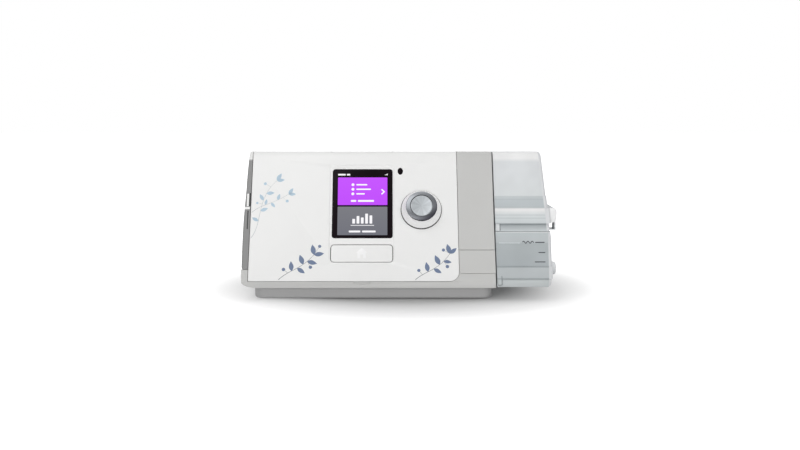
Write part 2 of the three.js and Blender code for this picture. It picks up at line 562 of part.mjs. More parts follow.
const sideBoard = () => block(sideBoardX, sideBoardY, [sideBoardZ, sideBoardZ + SIDE_BOARD.thick]);
const cardBlock = (spread, from, to) => block([from, to],
  [flapMiddle - CARD.wide / 2 - spread, flapMiddle + CARD.wide / 2 + spread],
  [cardLow - spread, cardLow + CARD.thick + spread]);
const sdCard = () => cardBlock(0, capInside, capInside + CARD.length);
const sdSocket = () => cut(
  cardBlock(GAP + CARD.shell, capInside + CARD.proud, slotEnd + CARD.shell),
  cardBlock(GAP, capInside, slotEnd));

function adapterConnector() {
  const top = sideBoardZ - GAP;
  const y = [flapMiddle - ADAPTER.depth / 2, flapMiddle + ADAPTER.depth / 2];
  const w = ADAPTER.wall;
  const cavity = block([capInside - OVERRUN, capInside + ADAPTER.cavity], [y[0] + w, y[1] - w],
    [top - ADAPTER.height + w, top - w]);
  return cut(block([capInside, capInside + ADAPTER.length], y, [top - ADAPTER.height, top]), cavity);
}

// The rear: filter and its door, power inlet, retaining bail, air outlet
const airFilter = () => block([filterX[0] + GAP, filterX[1] - GAP],
  [REAR_WALL - FILTER.depth + GAP, REAR_WALL - FILTER.depth + GAP + FILTER.thick],
  [filterZ[0] + GAP, filterZ[1] - GAP]);

function filterDoor() {
  const y = [REAR_WALL + GAP, REAR_WALL + GAP + DOOR.thick];
  const door = block([filterX[0] - DOOR.overlap, filterX[1] + DOOR.overlap], y,
    [filterZ[0] - DOOR.overlap, filterZ[1] + DOOR.overlap]);
  const pitch = (filterZ[1] - filterZ[0]) / DOOR.slots;
  const half = pitch * DOOR.slotShare / 2;
  const slots = Array.from({ length: DOOR.slots }, (_, i) => {
    const z = filterZ[0] + pitch * (i + 1 / 2);
    return block([filterX[0] + DOOR.slotMargin, filterX[1] - DOOR.slotMargin], ALL_Y, [z - half, z + half]);
  });
  return cut(door, ...slots);
}

function powerSocket() {
  const y = [REAR_WALL + INLET.proud - INLET.depth, REAR_WALL + INLET.proud];
  const w = INLET.wall;
  const outer = block(inletX, y, [INLET.low, INLET.high]);
  const cavity = block([inletX[0] + w, inletX[1] - w], [y[0] + w, y[1] + OVERRUN],
    [INLET.low + w, INLET.high - w]);
  const step = INLET.width * PIN.placeShare;
  const middle = (INLET.low + INLET.high) / 2;
  const pin = (x) => alongYRod(PIN.radius, y[0] + w / 2, y[0] + w + PIN.length, x, middle, 10);
  return join(cut(outer, cavity), pin(inletX[0] + step), pin(inletX[1] - step));
}

const alongXRod = (radius, from, to, y, z, sides = 24) =>
  moved(aboutY(rod(radius, from, to, sides), 90), 0, y, z);
const bailY = REAR_WALL + BAIL.out;
const bailZ = INLET.high + BAIL.rise;

function bailLugs() {
  const lug = (x) => {
    const arm = block([x, x + LUG.wide], [REAR_WALL - BODY.wall / 2, bailY],
      [bailZ - LUG.radius, bailZ + LUG.radius]);
    const eye = alongXRod(LUG.radius, x, x + LUG.wide, bailY, bailZ, 16);
    const bore = alongXRod(BAIL.thick / 2 + GAP, x - OVERRUN, x + LUG.wide + OVERRUN, bailY, bailZ, 16);
    return cut(join(arm, eye), bore);
  };
  return [lug(inletX[0] + LUG.inset), lug(inletX[1] - LUG.inset - LUG.wide)];
}

function plugRetainer() {
  const half = BAIL.thick / 2;
  const left = inletX[0] - BAIL.side - BAIL.thick;
  const right = inletX[1] + BAIL.side + BAIL.thick;
  const y = [bailY - half, bailY + half];
  const arm = (x) => block([x, x + BAIL.thick], y, [bailZ - BAIL.drop, bailZ + half]);
  const bar = block([left, right], y, [bailZ - BAIL.drop - half, bailZ - BAIL.drop + half]);
  return join(alongXRod(half, left + half, right - half, bailY, bailZ, 12),
    arm(left), arm(right - BAIL.thick), bar);
}

function airOutlet() {
  const inner = BODY.depth / 2 - OUTLET.length;
  const flangeEnd = REAR_WALL - BODY.wall - GAP;
  const tube = alongYRod(OUTLET.radius, inner, BODY.depth / 2, OUTLET_X, OUTLET_Z, 32);
  const flange = alongYRod(OUTLET.radius + FLANGE.reach, flangeEnd - FLANGE.thick, flangeEnd,
    OUTLET_X, OUTLET_Z, 32);
  return cut(join(tube, flange),
    alongYRod(OUTLET.bore, inner - OVERRUN, BODY.depth / 2 + OVERRUN, OUTLET_X, OUTLET_Z, 32));
}

// The blower, in a frame of its own on the floor
const voluteLength = VOLUTE.lengthShare * BODY.width;
const wheelRadius = FAN_RADIUS - FAN.wall - WHEEL.clear;

function blowerHousing() {
  const cup = turned([[0, 0], [FAN_RADIUS, 0], [FAN_RADIUS, FAN.lower], [0, FAN.lower]], 40);
  const space = rod(FAN_RADIUS - FAN.wall, FAN.wall, FAN.lower + OVERRUN, 40);
  const stub = block([0, voluteLength], [-FAN_RADIUS, VOLUTE.width - FAN_RADIUS],
    [VOLUTE.low, VOLUTE.low + VOLUTE.width]);
  return cut(join(cup, stub), space,
    block([0, voluteLength + OVERRUN], [VOLUTE.wall - FAN_RADIUS, VOLUTE.width - VOLUTE.wall - FAN_RADIUS],
      [VOLUTE.low + VOLUTE.wall, VOLUTE.low + VOLUTE.width - VOLUTE.wall]));
}

function blowerCap() {
  const base = FAN.lower + GAP;
  const top = base + FAN.upper;
  const inside = FAN_RADIUS - FAN.wall;
  return turned([[inside, base], [FAN_RADIUS, base], [FAN_RADIUS, top], [FAN.neck, top],
    [FAN.neck, top + FAN.neckHeight], [WHEEL.eye, top + FAN.neckHeight], [WHEEL.eye, top - FAN.wall],
    [inside, top - FAN.wall]], 40);
}

function impeller() {
  const bore = MOTOR.shaft + GAP;
  const plateTop = WHEEL.lift + WHEEL.plate;
  const wheel = turned([[bore, WHEEL.lift], [wheelRadius, WHEEL.lift], [wheelRadius, plateTop],
    [WHEEL.hub, plateTop], [WHEEL.hub, plateTop + WHEEL.blade - WHEEL.plate],
    [bore, plateTop + WHEEL.blade - WHEEL.plate]], 36);
  const blade = block([WHEEL.eye, wheelRadius - WHEEL.plate], [0, WHEEL.bladeThick],
    [plateTop - WHEEL.plate / 2, plateTop + WHEEL.blade]);
  const blades = Array.from({ length: WHEEL.blades }, (_, i) =>
    blade.rotate([0, 0, (360 / WHEEL.blades) * i]));
  return join(wheel, ...blades);
}

function blowerGroup() {
  const seat = FAN.wall + GAP;
  const shaftLow = seat + GAP;
  const spread = FAN_RADIUS - MOUNT.inset;
  const mounts = Array.from({ length: MOUNT.count }, (_, i) => {
    const angle = (Math.PI * 2 * i) / MOUNT.count + Math.PI / 2;
    const pad = mesh("blower_mount_" + (i + 1), rod(MOUNT.radius, FLOOR + GAP - FAN.z, -GAP, 16), RUBBER);
    pad.position.set(spread * Math.cos(angle), spread * Math.sin(angle), 0);
    return pad;
  });
  const whole = group(
    mesh("blower_housing", blowerHousing(), CREAM),
    mesh("blower_cap", blowerCap(), CREAM),
    mesh("blower_motor", sleeve(MOTOR.radius, MOTOR.shaft + GAP, seat, seat + MOTOR.height), METAL),
    mesh("motor_shaft", rod(MOTOR.shaft, shaftLow, shaftLow + MOTOR.shaftHeight, 12), METAL),
    mesh("impeller", impeller(), BLACK_PLASTIC),
    ...mounts);
  whole.position.set(FAN_X, FAN_Y, FAN.z);
  return whole;
}

function inletMuffler() {
  const w = MUFFLER.wall;
  const rear = REAR_WALL - FILTER.depth - FILTER.frame - GAP;
  const outer = block(mufflerX, [mufflerFront, rear], mufflerZ);
  const inner = block([mufflerX[0] + w, mufflerX[1] - w], [mufflerFront + w, rear - w],
    [mufflerZ[0] + w, mufflerZ[1] - w]);
  const mouth = block(filterX, [rear - w - OVERRUN, rear + OVERRUN], filterZ);
  const eye = moved(rod(WHEEL.eye, mufflerZ[0] - OVERRUN, mufflerZ[0] + w + OVERRUN), FAN_X, FAN_Y, 0);
  return cut(outer, inner, mouth, eye);
}

// A round duct along a smooth path that leaves both ends straight
function duct(points) {
  const ring = new THREE.Shape();
  ring.absarc(0, 0, DUCT.radius, 0, Math.PI * 2);
  const bore = new THREE.Path();
  bore.absarc(0, 0, DUCT.radius - DUCT.wall, 0, Math.PI * 2, true);
  ring.holes.push(bore);
  const extrudePath = new THREE.CatmullRomCurve3(points.map((place) => new THREE.Vector3(...place)));
  return solid(new THREE.ExtrudeGeometry(ring,
    { extrudePath, steps: DUCT.steps, bevelEnabled: false, curveSegments: 6 }));
}

function supplyDuct() {
  const x0 = FAN_X + voluteLength + GAP;
  const y0 = FAN_Y - FAN_RADIUS + VOLUTE.width / 2;
  const z0 = FAN.z + VOLUTE.low + VOLUTE.width / 2;
  const x1 = BAY_LEFT - GAP;
  const run = DUCT.straight;
  const middle = [(x0 + x1) / 2, (y0 + portY[0]) / 2, (z0 + PORT_Z) / 2];
  return duct([[x0, y0, z0], [x0 + run, y0, z0], middle, [x1 - run, portY[0], PORT_Z],
    [x1, portY[0], PORT_Z]]);
}

function returnDuct() {
  const x0 = BAY_LEFT - GAP;
  const y0 = portY[1];
  const y1 = BODY.depth / 2 - OUTLET.length - GAP;
  const run = DUCT.straight;
  const bend = DUCT.radius * 2;
  const z1 = OUTLET_Z;
  const middle = (PORT_Z + z1) / 2;
  return duct([[x0, y0, PORT_Z], [x0 - run, y0, PORT_Z],
    [x0 - run - bend, y0, middle], [x0 - run, y0, z1],
    [(x0 + OUTLET_X) / 2, y0 + run * DUCT.swayShare, z1],
    [OUTLET_X - run / 2, y1 - run, z1], [OUTLET_X, y1, z1]]);
}

// The bay in the right end, and the heater on its floor
function humidifierBay() {
  const w = BAY.wall;
  const outer = block([BAY_LEFT, RIGHT - BODY.wall - GAP], bayY, [FLOOR + GAP, BAY_HIGH]);
  const inner = block([BAY_LEFT + w, RIGHT + OVERRUN], [bayY[0] + w, bayY[1] - w],
    [ALL_Z[0], BAY_HIGH - w]);
  return cut(outer, inner, ...portHoles(BAY_LEFT));
}

const portHoles = (x) => portY.map((y) => alongXRod(
  DUCT.radius - DUCT.wall, x - OVERRUN / 2, x + BAY.wall + OVERRUN / 2, y, PORT_Z, 24));

function heaterLayer(inset, low, high) {
  const side = BAY.wall + HEATER.side + inset;
  return block([BAY_LEFT + side, RIGHT - side], [bayY[0] + side, bayY[1] - side], [low, high]);
}
const insulatorTop = FLOOR + GAP + HEATER.insulator;
const heaterInsulator = () => heaterLayer(0, FLOOR + GAP, insulatorTop);
const heaterPlate = () => heaterLayer(
  HEATER.side / 2, insulatorTop + GAP, insulatorTop + GAP + HEATER.plate);

// The water tub: its outside follows the machine's outline, its tongue reaches into the bay
const tongueX = [BAY_LEFT + BAY.wall + TONGUE.clear, TUB_LEFT - GAP];
const tongueY = [bayY[0] + BAY.wall + TONGUE.clear, bayY[1] - BAY.wall - TONGUE.clear];
const tubBaseTop = TUB.seam - GAP;

function tubDraft(extra) {
  const right = TUB_RIGHT + extra;
  return alongY(polygon([[tongueX[0] - OVERRUN, 0], [right, 0], [right, TUB.seam],
    [right - TUB.draft, BODY.height + OVERRUN], [tongueX[0] - OVERRUN, BODY.height + OVERRUN]]), ...ALL_Y);
}

const slab = (low, high) => block([tongueX[0] - OVERRUN, RIGHT + TUB.reach], ALL_Y, [low, high]);
const tubSide = (inset, bottom) => profileX(inset, bottom, TUB_LEFT + inset, TUB_RIGHT - inset);

// A band that stands proud round the front and right of the tub
function tubBand(low, high, proud) {
  const outline = profileX(-proud, BAND.bottom, TUB_LEFT, TUB_RIGHT + proud);
  const rearEnd = block([LEFT, RIGHT + TUB.reach], [ALL_Y[0], REAR_WALL - GAP], ALL_Z);
  return keep(outline, slab(low, high), rearEnd);
}

// A grip that runs along the right side of a band, thickening towards its outer edge
function lug(low, high, outer) {
  const shape = roundRect(TUB_RIGHT - TUB.wall / 2, outer, low, high, RIM.lip);
  return alongY(shape, ...tabY);
}

function tubBase() {
  const outer = keep(tubSide(0, TUB.bottom), slab(TUB.bottom, tubBaseTop));
  const band = tubBand(SKIRT.low, SKIRT.high, SKIRT.proud);
  const grip = lug(SKIRT.low, SKIRT.high, RIGHT + TUB.reach - SKIRT.lugReach);
  const w = TUB.wall;
  const hollow = tubSide(w, TUB.bottom + w);
  const tongue = block(tongueX, tongueY, [TONGUE.low, TONGUE_HIGH]);
  const neck = block([tongueX[1] - w, TUB_LEFT + w], tongueY, [TONGUE.low, tubBaseTop]);
  const tongueHollow = block([tongueX[0] + w, tongueX[1] - w], [tongueY[0] + w, tongueY[1] - w],
    [TONGUE.low + w, TONGUE_HIGH + OVERRUN]);
  const passage = block([tongueX[1] - w - OVERRUN, TUB_LEFT + w + OVERRUN],
    [tongueY[0] + w, tongueY[1] - w], [TONGUE.low + w, tubBaseTop - w]);
  const plateWindow = heatPlateBlock(GAP, TONGUE.low - OVERRUN, TONGUE.low + w + OVERRUN);
  return cut(join(outer, band, grip, tongue, neck, ...hingeEars()),
    hollow, tongueHollow, passage, plateWindow, ...portHoles(tongueX[0]));
}

function heatPlateBlock(spread, low, high) {
  const i = HEAT_PLATE.inset - spread;
  return block([tongueX[0] + i, tongueX[1] - i], [tongueY[0] + i, tongueY[1] - i], [low, high]);
}
const tubHeatPlate = () => heatPlateBlock(0, TONGUE.low, TONGUE.low + HEAT_PLATE.thick);
const tubDeck = () => block(tongueX, tongueY, [TONGUE_HIGH + GAP, TONGUE_HIGH + GAP + TONGUE.deck]);

function tubSeal() {
  const loop = (inset) => keep(tubSide(TUB.wall + GAP + inset, TUB.bottom),
    slab(tubBaseTop - SEAL.depth, tubBaseTop + SEAL.rise));
  const core = keep(tubSide(TUB.wall + GAP + SEAL.thick, TUB.bottom), slab(ALL_Z[0], ALL_Z[1]));
  return cut(loop(0), core);
}

function tubLid() {
  const w = TUB.wall;
  const outer = keep(tubSide(0, TUB.seam), tubDraft(0));
  const band = tubBand(RIM.low, RIM.high, RIM.proud);
  const tab = lug(RIM.low, RIM.high, RIGHT + TUB.reach);
  const lip = block([RIGHT + TUB.reach - RIM.lip, RIGHT + TUB.reach], tabY,
    [TUB.seam, RIM.low + RIM.lip * 2]);
  const inner = keep(profileX(w, TUB.seam - OVERRUN, TUB_LEFT + w, TUB_RIGHT - w), tubDraft(-w));
  return cut(join(outer, band, tab, lip, hingeKnuckle()), inner, hingeBore());
}

// The hinge behind the tub: an eye on the lid between two ears on the base, on one pin
const hingeY = REAR_WALL + HINGE.standOff;
const hingeZ = TUB.seam + HINGE.rise;
const hingeMiddle = (TUB_LEFT + TUB_RIGHT) / 2;
const knuckleX = [hingeMiddle - HINGE.knuckle / 2, hingeMiddle + HINGE.knuckle / 2];
const earsX = [[knuckleX[0] - GAP - HINGE.ear, knuckleX[0] - GAP],
  [knuckleX[1] + GAP, knuckleX[1] + GAP + HINGE.ear]];
const hingeBore = () => alongXRod(
  HINGE.bore, earsX[0][0] - OVERRUN, earsX[1][1] + OVERRUN, hingeY, hingeZ, 16);

function hingeKnuckle() {
  const link = block(knuckleX, [REAR_WALL - TUB.wall / 2, hingeY], [hingeZ, hingeZ + HINGE.link]);
  return join(alongXRod(HINGE.radius, ...knuckleX, hingeY, hingeZ), link);
}

function hingeEars() {
  return earsX.map((span) => {
    const link = block(span, [REAR_WALL - TUB.wall / 2, hingeY],
      [tubBaseTop - HINGE.link, tubBaseTop - GAP]);
    return cut(join(alongXRod(HINGE.radius, ...span, hingeY, hingeZ), link), hingeBore());
  });
}

const hingePin = () => alongXRod(HINGE.pin, earsX[0][0], earsX[1][1], hingeY, hingeZ, 16);

// The pedestal with its feet and screws
const traySpan = {
  left: LEFT + TRAY.left, right: RIGHT - TRAY.right, low: FRONT + TRAY.front, high: REAR_WALL - TRAY.rear,
};
const screwPlaces = () => boardCorners({
  left: traySpan.left, right: traySpan.right,
  front: traySpan.low, rear: traySpan.high, inset: SCREW.inset });
const footPlaces = () => boardCorners({
  left: traySpan.left, right: traySpan.right, front: traySpan.low, rear: traySpan.high, inset: FOOT.inset });
const trayLow = FOOT.proud;
const screwSeat = trayLow + SCREW.sink + SCREW.headHeight;

function baseTray() {
  const shape = (inset) => roundRect(traySpan.left + inset, traySpan.right - inset,
    traySpan.low + inset, traySpan.high - inset, TRAY.corner - inset);
  const top = BAND.bottom - GAP;
  const shell = cut(alongZ(shape(0), trayLow, top),
    alongZ(shape(BODY.wall), trayLow + TRAY.floor, top + OVERRUN));
  const bosses = screwPlaces().map(([x, y]) => moved(rod(SCREW.boss, trayLow, top, 16), x, y, 0));
  const bores = screwPlaces().flatMap(([x, y]) => [
    moved(rod(SCREW.radius + GAP, trayLow - OVERRUN, top + OVERRUN, 12), x, y, 0),
    moved(rod(SCREW.head + GAP, trayLow - OVERRUN, screwSeat + GAP, 16), x, y, 0)]);
  const pads = footPlaces().map(([x, y]) =>
    moved(rod(FOOT.radius + GAP, trayLow - OVERRUN, FOOT.height + GAP, 20), x, y, 0));
  return cut(join(shell, ...bosses), ...bores, ...pads);
}

function screw() {
  const head = rod(SCREW.head, screwSeat - SCREW.headHeight, screwSeat, 16);
  const shank = rod(SCREW.radius, screwSeat - SCREW.headHeight / 2, FLOOR - SCREW.tip, 12);
  return join(head, shank);
}

const CORNER_NAMES = ["front_left", "rear_left", "front_right", "rear_right"];
const atCorners = (places, label, make, material) => places.map(([x, y], i) => {
  const piece = mesh(label + "_" + CORNER_NAMES[i], make(), material);
  piece.position.set(x, y, 0);
  return piece;
});

const machine = group(
  mesh("base_tray", baseTray(), DARK_GREY),
  ...atCorners(footPlaces(), "foot", () => rod(FOOT.radius, 0, FOOT.height, 20), RUBBER),
  ...atCorners(screwPlaces(), "case_screw", screw, METAL),
  mesh("main_housing", mainHousing(), LIGHT_GREY),
  mesh("front_top_cover", frontTopCover(), WHITE),
  mesh("left_side_panel", leftSidePanel(), MID_GREY),
  mesh("rear_panel", rearPanel(), LIGHT_GREY),
  faceGroup(),
  mesh("start_button", startButton(), WHITE),
  mesh("start_switch", startSwitch(), BLACK_PLASTIC),
  mesh("sd_cover", sideFlap(CARD_FLAP), LIGHT_GREY),
  mesh("adapter_cover", sideFlap(ADAPTER_FLAP), LIGHT_GREY),
  mesh("side_board", sideBoard(), BOARD_GREEN),
  mesh("sd_card", sdCard(), BLACK_PLASTIC),
  mesh("sd_socket", sdSocket(), METAL),
  mesh("adapter_connector", adapterConnector(), BLACK_PLASTIC),
  mesh("air_filter", airFilter(), FOAM),
  mesh("filter_cover", filterDoor(), LIGHT_GREY),
  mesh("power_socket", powerSocket(), BLACK_PLASTIC),
  mesh("plug_retainer", plugRetainer(), LIGHT_GREY),
  mesh("air_outlet", airOutlet(), WHITE),
  mesh("main_board", mainBoard(), BOARD_GREEN),
  blowerGroup(),
  mesh("inlet_muffler", inletMuffler(), CREAM),
  mesh("supply_duct", supplyDuct(), RUBBER),
  mesh("return_duct", returnDuct(), RUBBER),
  mesh("humidifier_bay", humidifierBay(), LIGHT_GREY),
  mesh("heater_insulator", heaterInsulator(), CREAM),
  mesh("heater_plate", heaterPlate(), METAL),
  mesh("tub_base", tubBase(), CLEAR),
  mesh("tub_heat_plate", tubHeatPlate(), METAL),
  mesh("tub_deck", tubDeck(), CLEAR),
  mesh("tub_seal", tubSeal(), FOAM),
  mesh("tub_lid", tubLid(), CLEAR),
  mesh("tub_hinge_pin", hingePin(), METAL),
);

export default machine;
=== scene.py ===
import json
from math import atan, atan2, cos, dist, pi, radians, sin, sqrt, tan

import bmesh
import bpy
from mathutils import Matrix, Vector

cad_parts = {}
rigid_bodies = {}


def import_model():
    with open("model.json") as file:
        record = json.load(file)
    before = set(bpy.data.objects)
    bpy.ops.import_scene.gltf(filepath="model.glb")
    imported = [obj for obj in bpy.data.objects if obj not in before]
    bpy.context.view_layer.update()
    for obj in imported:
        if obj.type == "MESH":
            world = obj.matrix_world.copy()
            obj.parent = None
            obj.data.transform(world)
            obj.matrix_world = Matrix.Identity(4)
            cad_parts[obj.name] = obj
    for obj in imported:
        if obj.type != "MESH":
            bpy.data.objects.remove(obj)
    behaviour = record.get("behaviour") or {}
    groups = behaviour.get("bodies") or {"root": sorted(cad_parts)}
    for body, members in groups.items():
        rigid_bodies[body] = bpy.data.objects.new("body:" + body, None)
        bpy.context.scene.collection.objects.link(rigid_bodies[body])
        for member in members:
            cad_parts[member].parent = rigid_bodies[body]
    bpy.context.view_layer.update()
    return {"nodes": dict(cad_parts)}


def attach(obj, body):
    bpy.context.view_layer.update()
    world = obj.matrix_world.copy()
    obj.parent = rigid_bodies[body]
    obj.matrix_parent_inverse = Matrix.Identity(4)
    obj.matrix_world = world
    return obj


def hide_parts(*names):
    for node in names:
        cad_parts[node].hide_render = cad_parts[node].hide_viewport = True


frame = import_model()
MM = 0.001
QUARTER = pi / 2

# The casing's sizes, in millimetres, as the frame has them
GAP = 0.3
OVER = 4
WIDTH, DEPTH, HEIGHT, WALL = 205, 150, 118, 2.5
LEAN = radians(25)
TOP_FALL, SHOULDER, REAR_ROUND, OUTLET_STAND_OFF = 8, 7.7, 8, 8
BAND_BOTTOM, BAND_HEIGHT = 11, 5.5
CORNER_HEIGHT, CORNER_WIDTH, CORNER_DROP = 14, 12, 4.5
BLOCK_WIDTH, SIDE_WIDTH, SIDE_BULGE, REAR_DEPTH = 29.1, 6.4, 3.8, 9
TUB_REACH, TUB_GAP, TUB_WIDTH, TUB_DRAFT, TUB_BOTTOM, TUB_SEAM = 51, 1.5, 42.5, 3, 11.8, 54.4

LEFT = -(WIDTH + TUB_REACH) / 2
RIGHT = LEFT + WIDTH
MACHINE_END = RIGHT + TUB_REACH
FRONT = -DEPTH / 2
COVER_FOOT = BAND_BOTTOM + BAND_HEIGHT
SIDE_FOOT = BAND_BOTTOM + CORNER_HEIGHT
REAR_WALL = DEPTH / 2 - OUTLET_STAND_OFF
COVER_LEFT = LEFT + SIDE_WIDTH
COVER_RIGHT = RIGHT - BLOCK_WIDTH - GAP
FLOOR = BAND_BOTTOM + WALL
TUB_LEFT = RIGHT + TUB_GAP
TUB_RIGHT = TUB_LEFT + TUB_WIDTH
TOP_TILT = atan(TOP_FALL / (DEPTH - OUTLET_STAND_OFF))
SHOULDER_Z = HEIGHT - SHOULDER
SHOULDER_Y = FRONT + (SHOULDER_Z - COVER_FOOT) * tan(LEAN) + SHOULDER / cos(LEAN)
ALL_Y = (FRONT - OVER, DEPTH / 2 + OVER)
ABOVE = HEIGHT + OVER

# Face coordinates are X, the distance up the leaning face, and the height above it
FACE = Matrix.Translation((0, FRONT, COVER_FOOT)) @ Matrix.Rotation(QUARTER - LEAN, 4, "X")

# How far the left end stands in from its drawn line, and the tub's right wall out from its own, by height
EDGE_FIT = [(12, 1.5), (18, 1.15), (27, 0.7), (44, 0.15), (63, -0.3), (76, -0.2), (84, -0.1), (100, -0.4),
            (118, -0.3)]
TUB_SWELL = [(TUB_BOTTOM, 0.3), (27, 1.8), (50, 2.3), (60, 1.3), (73, 1.2), (95, 0.6), (HEIGHT, 0.0)]


# Meshes

def new_object(name, data):
    obj = bpy.data.objects.new(name, data)
    bpy.context.scene.collection.objects.link(obj)
    return obj


def link(name, bm):
    bmesh.ops.recalc_face_normals(bm, faces=bm.faces)
    mesh = bpy.data.meshes.new(name)
    bm.to_mesh(mesh)
    bm.free()
    obj = new_object(name, mesh)
    soften(obj)
    return obj


def soften(obj, degrees=35):
    obj.data.shade_smooth()
    obj.data.set_sharp_from_angle(angle=radians(degrees))


def metres(points, matrix=None):
    """Millimetre points as metres, laid through a millimetre matrix first if there is one."""
    return [(matrix @ Vector(p) if matrix else Vector(p)) * MM for p in points]


def skin(bm, loops, matrix=None):
    """Adds a solid through closed loops of equal length, with both ends capped."""
    rings = [[bm.verts.new(p) for p in metres(loop, matrix)] for loop in loops]
    for low, high in zip(rings, rings[1:]):
        for i in range(len(low)):
            j = (i + 1) % len(low)
            bm.faces.new((low[i], low[j], high[j], high[i]))
    bm.faces.new(rings[0][::-1])
    bm.faces.new(rings[-1])


def loft(name, loops, matrix=None):
    bm = bmesh.new()
    skin(bm, loops, matrix)
    return link(name, bm)


def raised(loop, height):
    return [(x, y, height) for x, y in loop]


def prism(name, loop, span, matrix=None):
    """A loop of (x, y) drawn out over a span of heights."""
    return loft(name, [raised(loop, height) for height in span], matrix)


def prism_y(name, loop, span):
    """A loop of (x, z) drawn out over a span of Y."""
    return loft(name, [[(a, y, b) for a, b in loop] for y in span])


def rect(x, y):
    return [(x[0], y[0]), (x[1], y[0]), (x[1], y[1]), (x[0], y[1])]


def block(name, x, y, z):
    return prism(name, rect(x, y), z)


def turned(name, profile, matrix, sides=96):
    """A body of revolution about local Z from (radius, height) pairs that close on themselves."""
    bm = bmesh.new()
    turn = [2 * pi * k / sides for k in range(sides)]
    rings = []
    for radius, height in profile:
        ring = [(radius * cos(a), radius * sin(a), height) for a in (turn if radius else turn[:1])]
        rings.append([bm.verts.new(p) for p in metres(ring, matrix)] * (1 if radius else sides))
    pairs = list(zip(rings, rings[1:]))
    if profile[0][0] > 0:
        pairs.append((rings[-1], rings[0]))
    for low, high in pairs:
        for i in range(sides):
            j = (i + 1) % sides
            corners = list(dict.fromkeys((low[i], low[j], high[j], high[i])))
            if len(corners) > 2:
                bm.faces.new(corners)
    return link(name, bm)


def rod(name, radius, span, matrix, sides):
    return turned(name, [(0, span[0]), (radius, span[0]), (radius, span[1]), (0, span[1])], matrix, sides)


def at(x, y, z):
    return Matrix.Translation((x, y, z))


def along_x(x, y, z):
    """A frame at a place whose Z points along X."""
    return at(x, y, z) @ Matrix.Rotation(QUARTER, 4, "Y")


def arc(cx, cy, radius, start, end, steps):
    angles = [start + (end - start) * k / steps for k in range(steps + 1)]
    return [(cx + radius * cos(a), cy + radius * sin(a)) for a in angles]


def fillet(cx, cy, radius, start, end, steps=5):
    """An arc between two angles in degrees."""
    return arc(cx, cy, radius, radians(start), radians(end), steps)


def circle(cx, cy, radius, sides=96):
    return arc(cx, cy, radius, 0, 2 * pi * (sides - 1) / sides, sides - 1)


def ellipse(cx, cy, half_x, half_y, sides=48):
    return [(cx + half_x * x, cy + half_y * y) for x, y in circle(0, 0, 1, sides)]


def round_rect(left, right, low, high, radius, steps=8):
    r = max(min(radius, (right - left) / 2, (high - low) / 2), 0.01)
    return (arc(left + r, low + r, r, 2 * QUARTER, 3 * QUARTER, steps)
            + arc(right - r, low + r, r, 3 * QUARTER, 4 * QUARTER, steps)
            + arc(right - r, high - r, r, 0, QUARTER, steps)
            + arc(left + r, high - r, r, QUARTER, 2 * QUARTER, steps))


def grown(loop, by):
    """A loop made wider by the same amount on every side."""
    cx, cy = (sum(p[i] for p in loop) / len(loop) for i in (0, 1))
    kx = 1 + by / max(abs(x - cx) for x, _ in loop)
    ky = 1 + by / max(abs(y - cy) for _, y in loop)
    return [(cx + (x - cx) * kx, cy + (y - cy) * ky) for x, y in loop]


def rounding(radius, steps):
    """The (rise, inset) pairs of a rounded edge, from its foot to its top."""
    return [(radius * sin(QUARTER * k / steps), radius * (1 - cos(QUARTER * k / steps)))
            for k in range(steps + 1)]


def plate(name, loop, low, high, edge):
    """A flat piece on the face from a loop of (x, up), its upper edge rounded."""
    levels = [(low, 0.0)] + [(high - edge + rise, inset) for rise, inset in rounding(edge, 4)]
    return loft(name, [raised(grown(loop, -inset), height) for height, inset in levels], FACE)


def face_cutter(loop, low=-OVER * 2, high=OVER, flare=0.0):
    """A cutter on the face that widens by flare from its low end to its high end."""
    return loft("cutter", [raised(loop, low), raised(grown(loop, flare), high)], FACE)


def apply_modifiers(obj):
    graph = bpy.context.evaluated_depsgraph_get()
    mesh = bpy.data.meshes.new_from_object(obj.evaluated_get(graph))
    obj.modifiers.clear()
    obj.data = mesh


def boolean(obj, tools, operation="DIFFERENCE"):
    for tool in tools:
        modifier = obj.modifiers.new("cut", "BOOLEAN")
        modifier.object = tool
        modifier.operation = operation
        modifier.solver = "EXACT"
    apply_modifiers(obj)
    for tool in tools:
        bpy.data.objects.remove(tool)
    soften(obj)
    return obj


def bevel(obj, width, segments=3, degrees=30):
    modifier = obj.modifiers.new("edge", "BEVEL")
    modifier.width = width * MM
    modifier.segments = segments
    modifier.limit_method = "ANGLE"
    modifier.angle_limit = radians(degrees)
    modifier.harden_normals = True
    modifier.miter_outer = "MITER_ARC"
    apply_modifiers(obj)


# The side outline of the whole machine, in Y and Z

def top_at(y):
    return SHOULDER_Z + SHOULDER / cos(TOP_TILT) - (y - SHOULDER_Y) * tan(TOP_TILT)


def side_outline(inset, bottom, steps=16):
    rear_y = REAR_WALL - REAR_ROUND
    rear_z = top_at(rear_y) - REAR_ROUND / cos(TOP_TILT)
    turn = QUARTER - TOP_TILT
    points = arc(rear_y, rear_z, REAR_ROUND - inset, 0, turn, steps)
    points += arc(SHOULDER_Y, SHOULDER_Z, SHOULDER - inset, turn, pi - LEAN, steps)
    front = FRONT + inset / cos(LEAN)
    if bottom < COVER_FOOT:
        points += [(front, COVER_FOOT), (front, bottom)]
    else:
        points += [(front + (bottom - COVER_FOOT) * tan(LEAN), bottom)]
    return points + [(REAR_WALL - inset, bottom)]


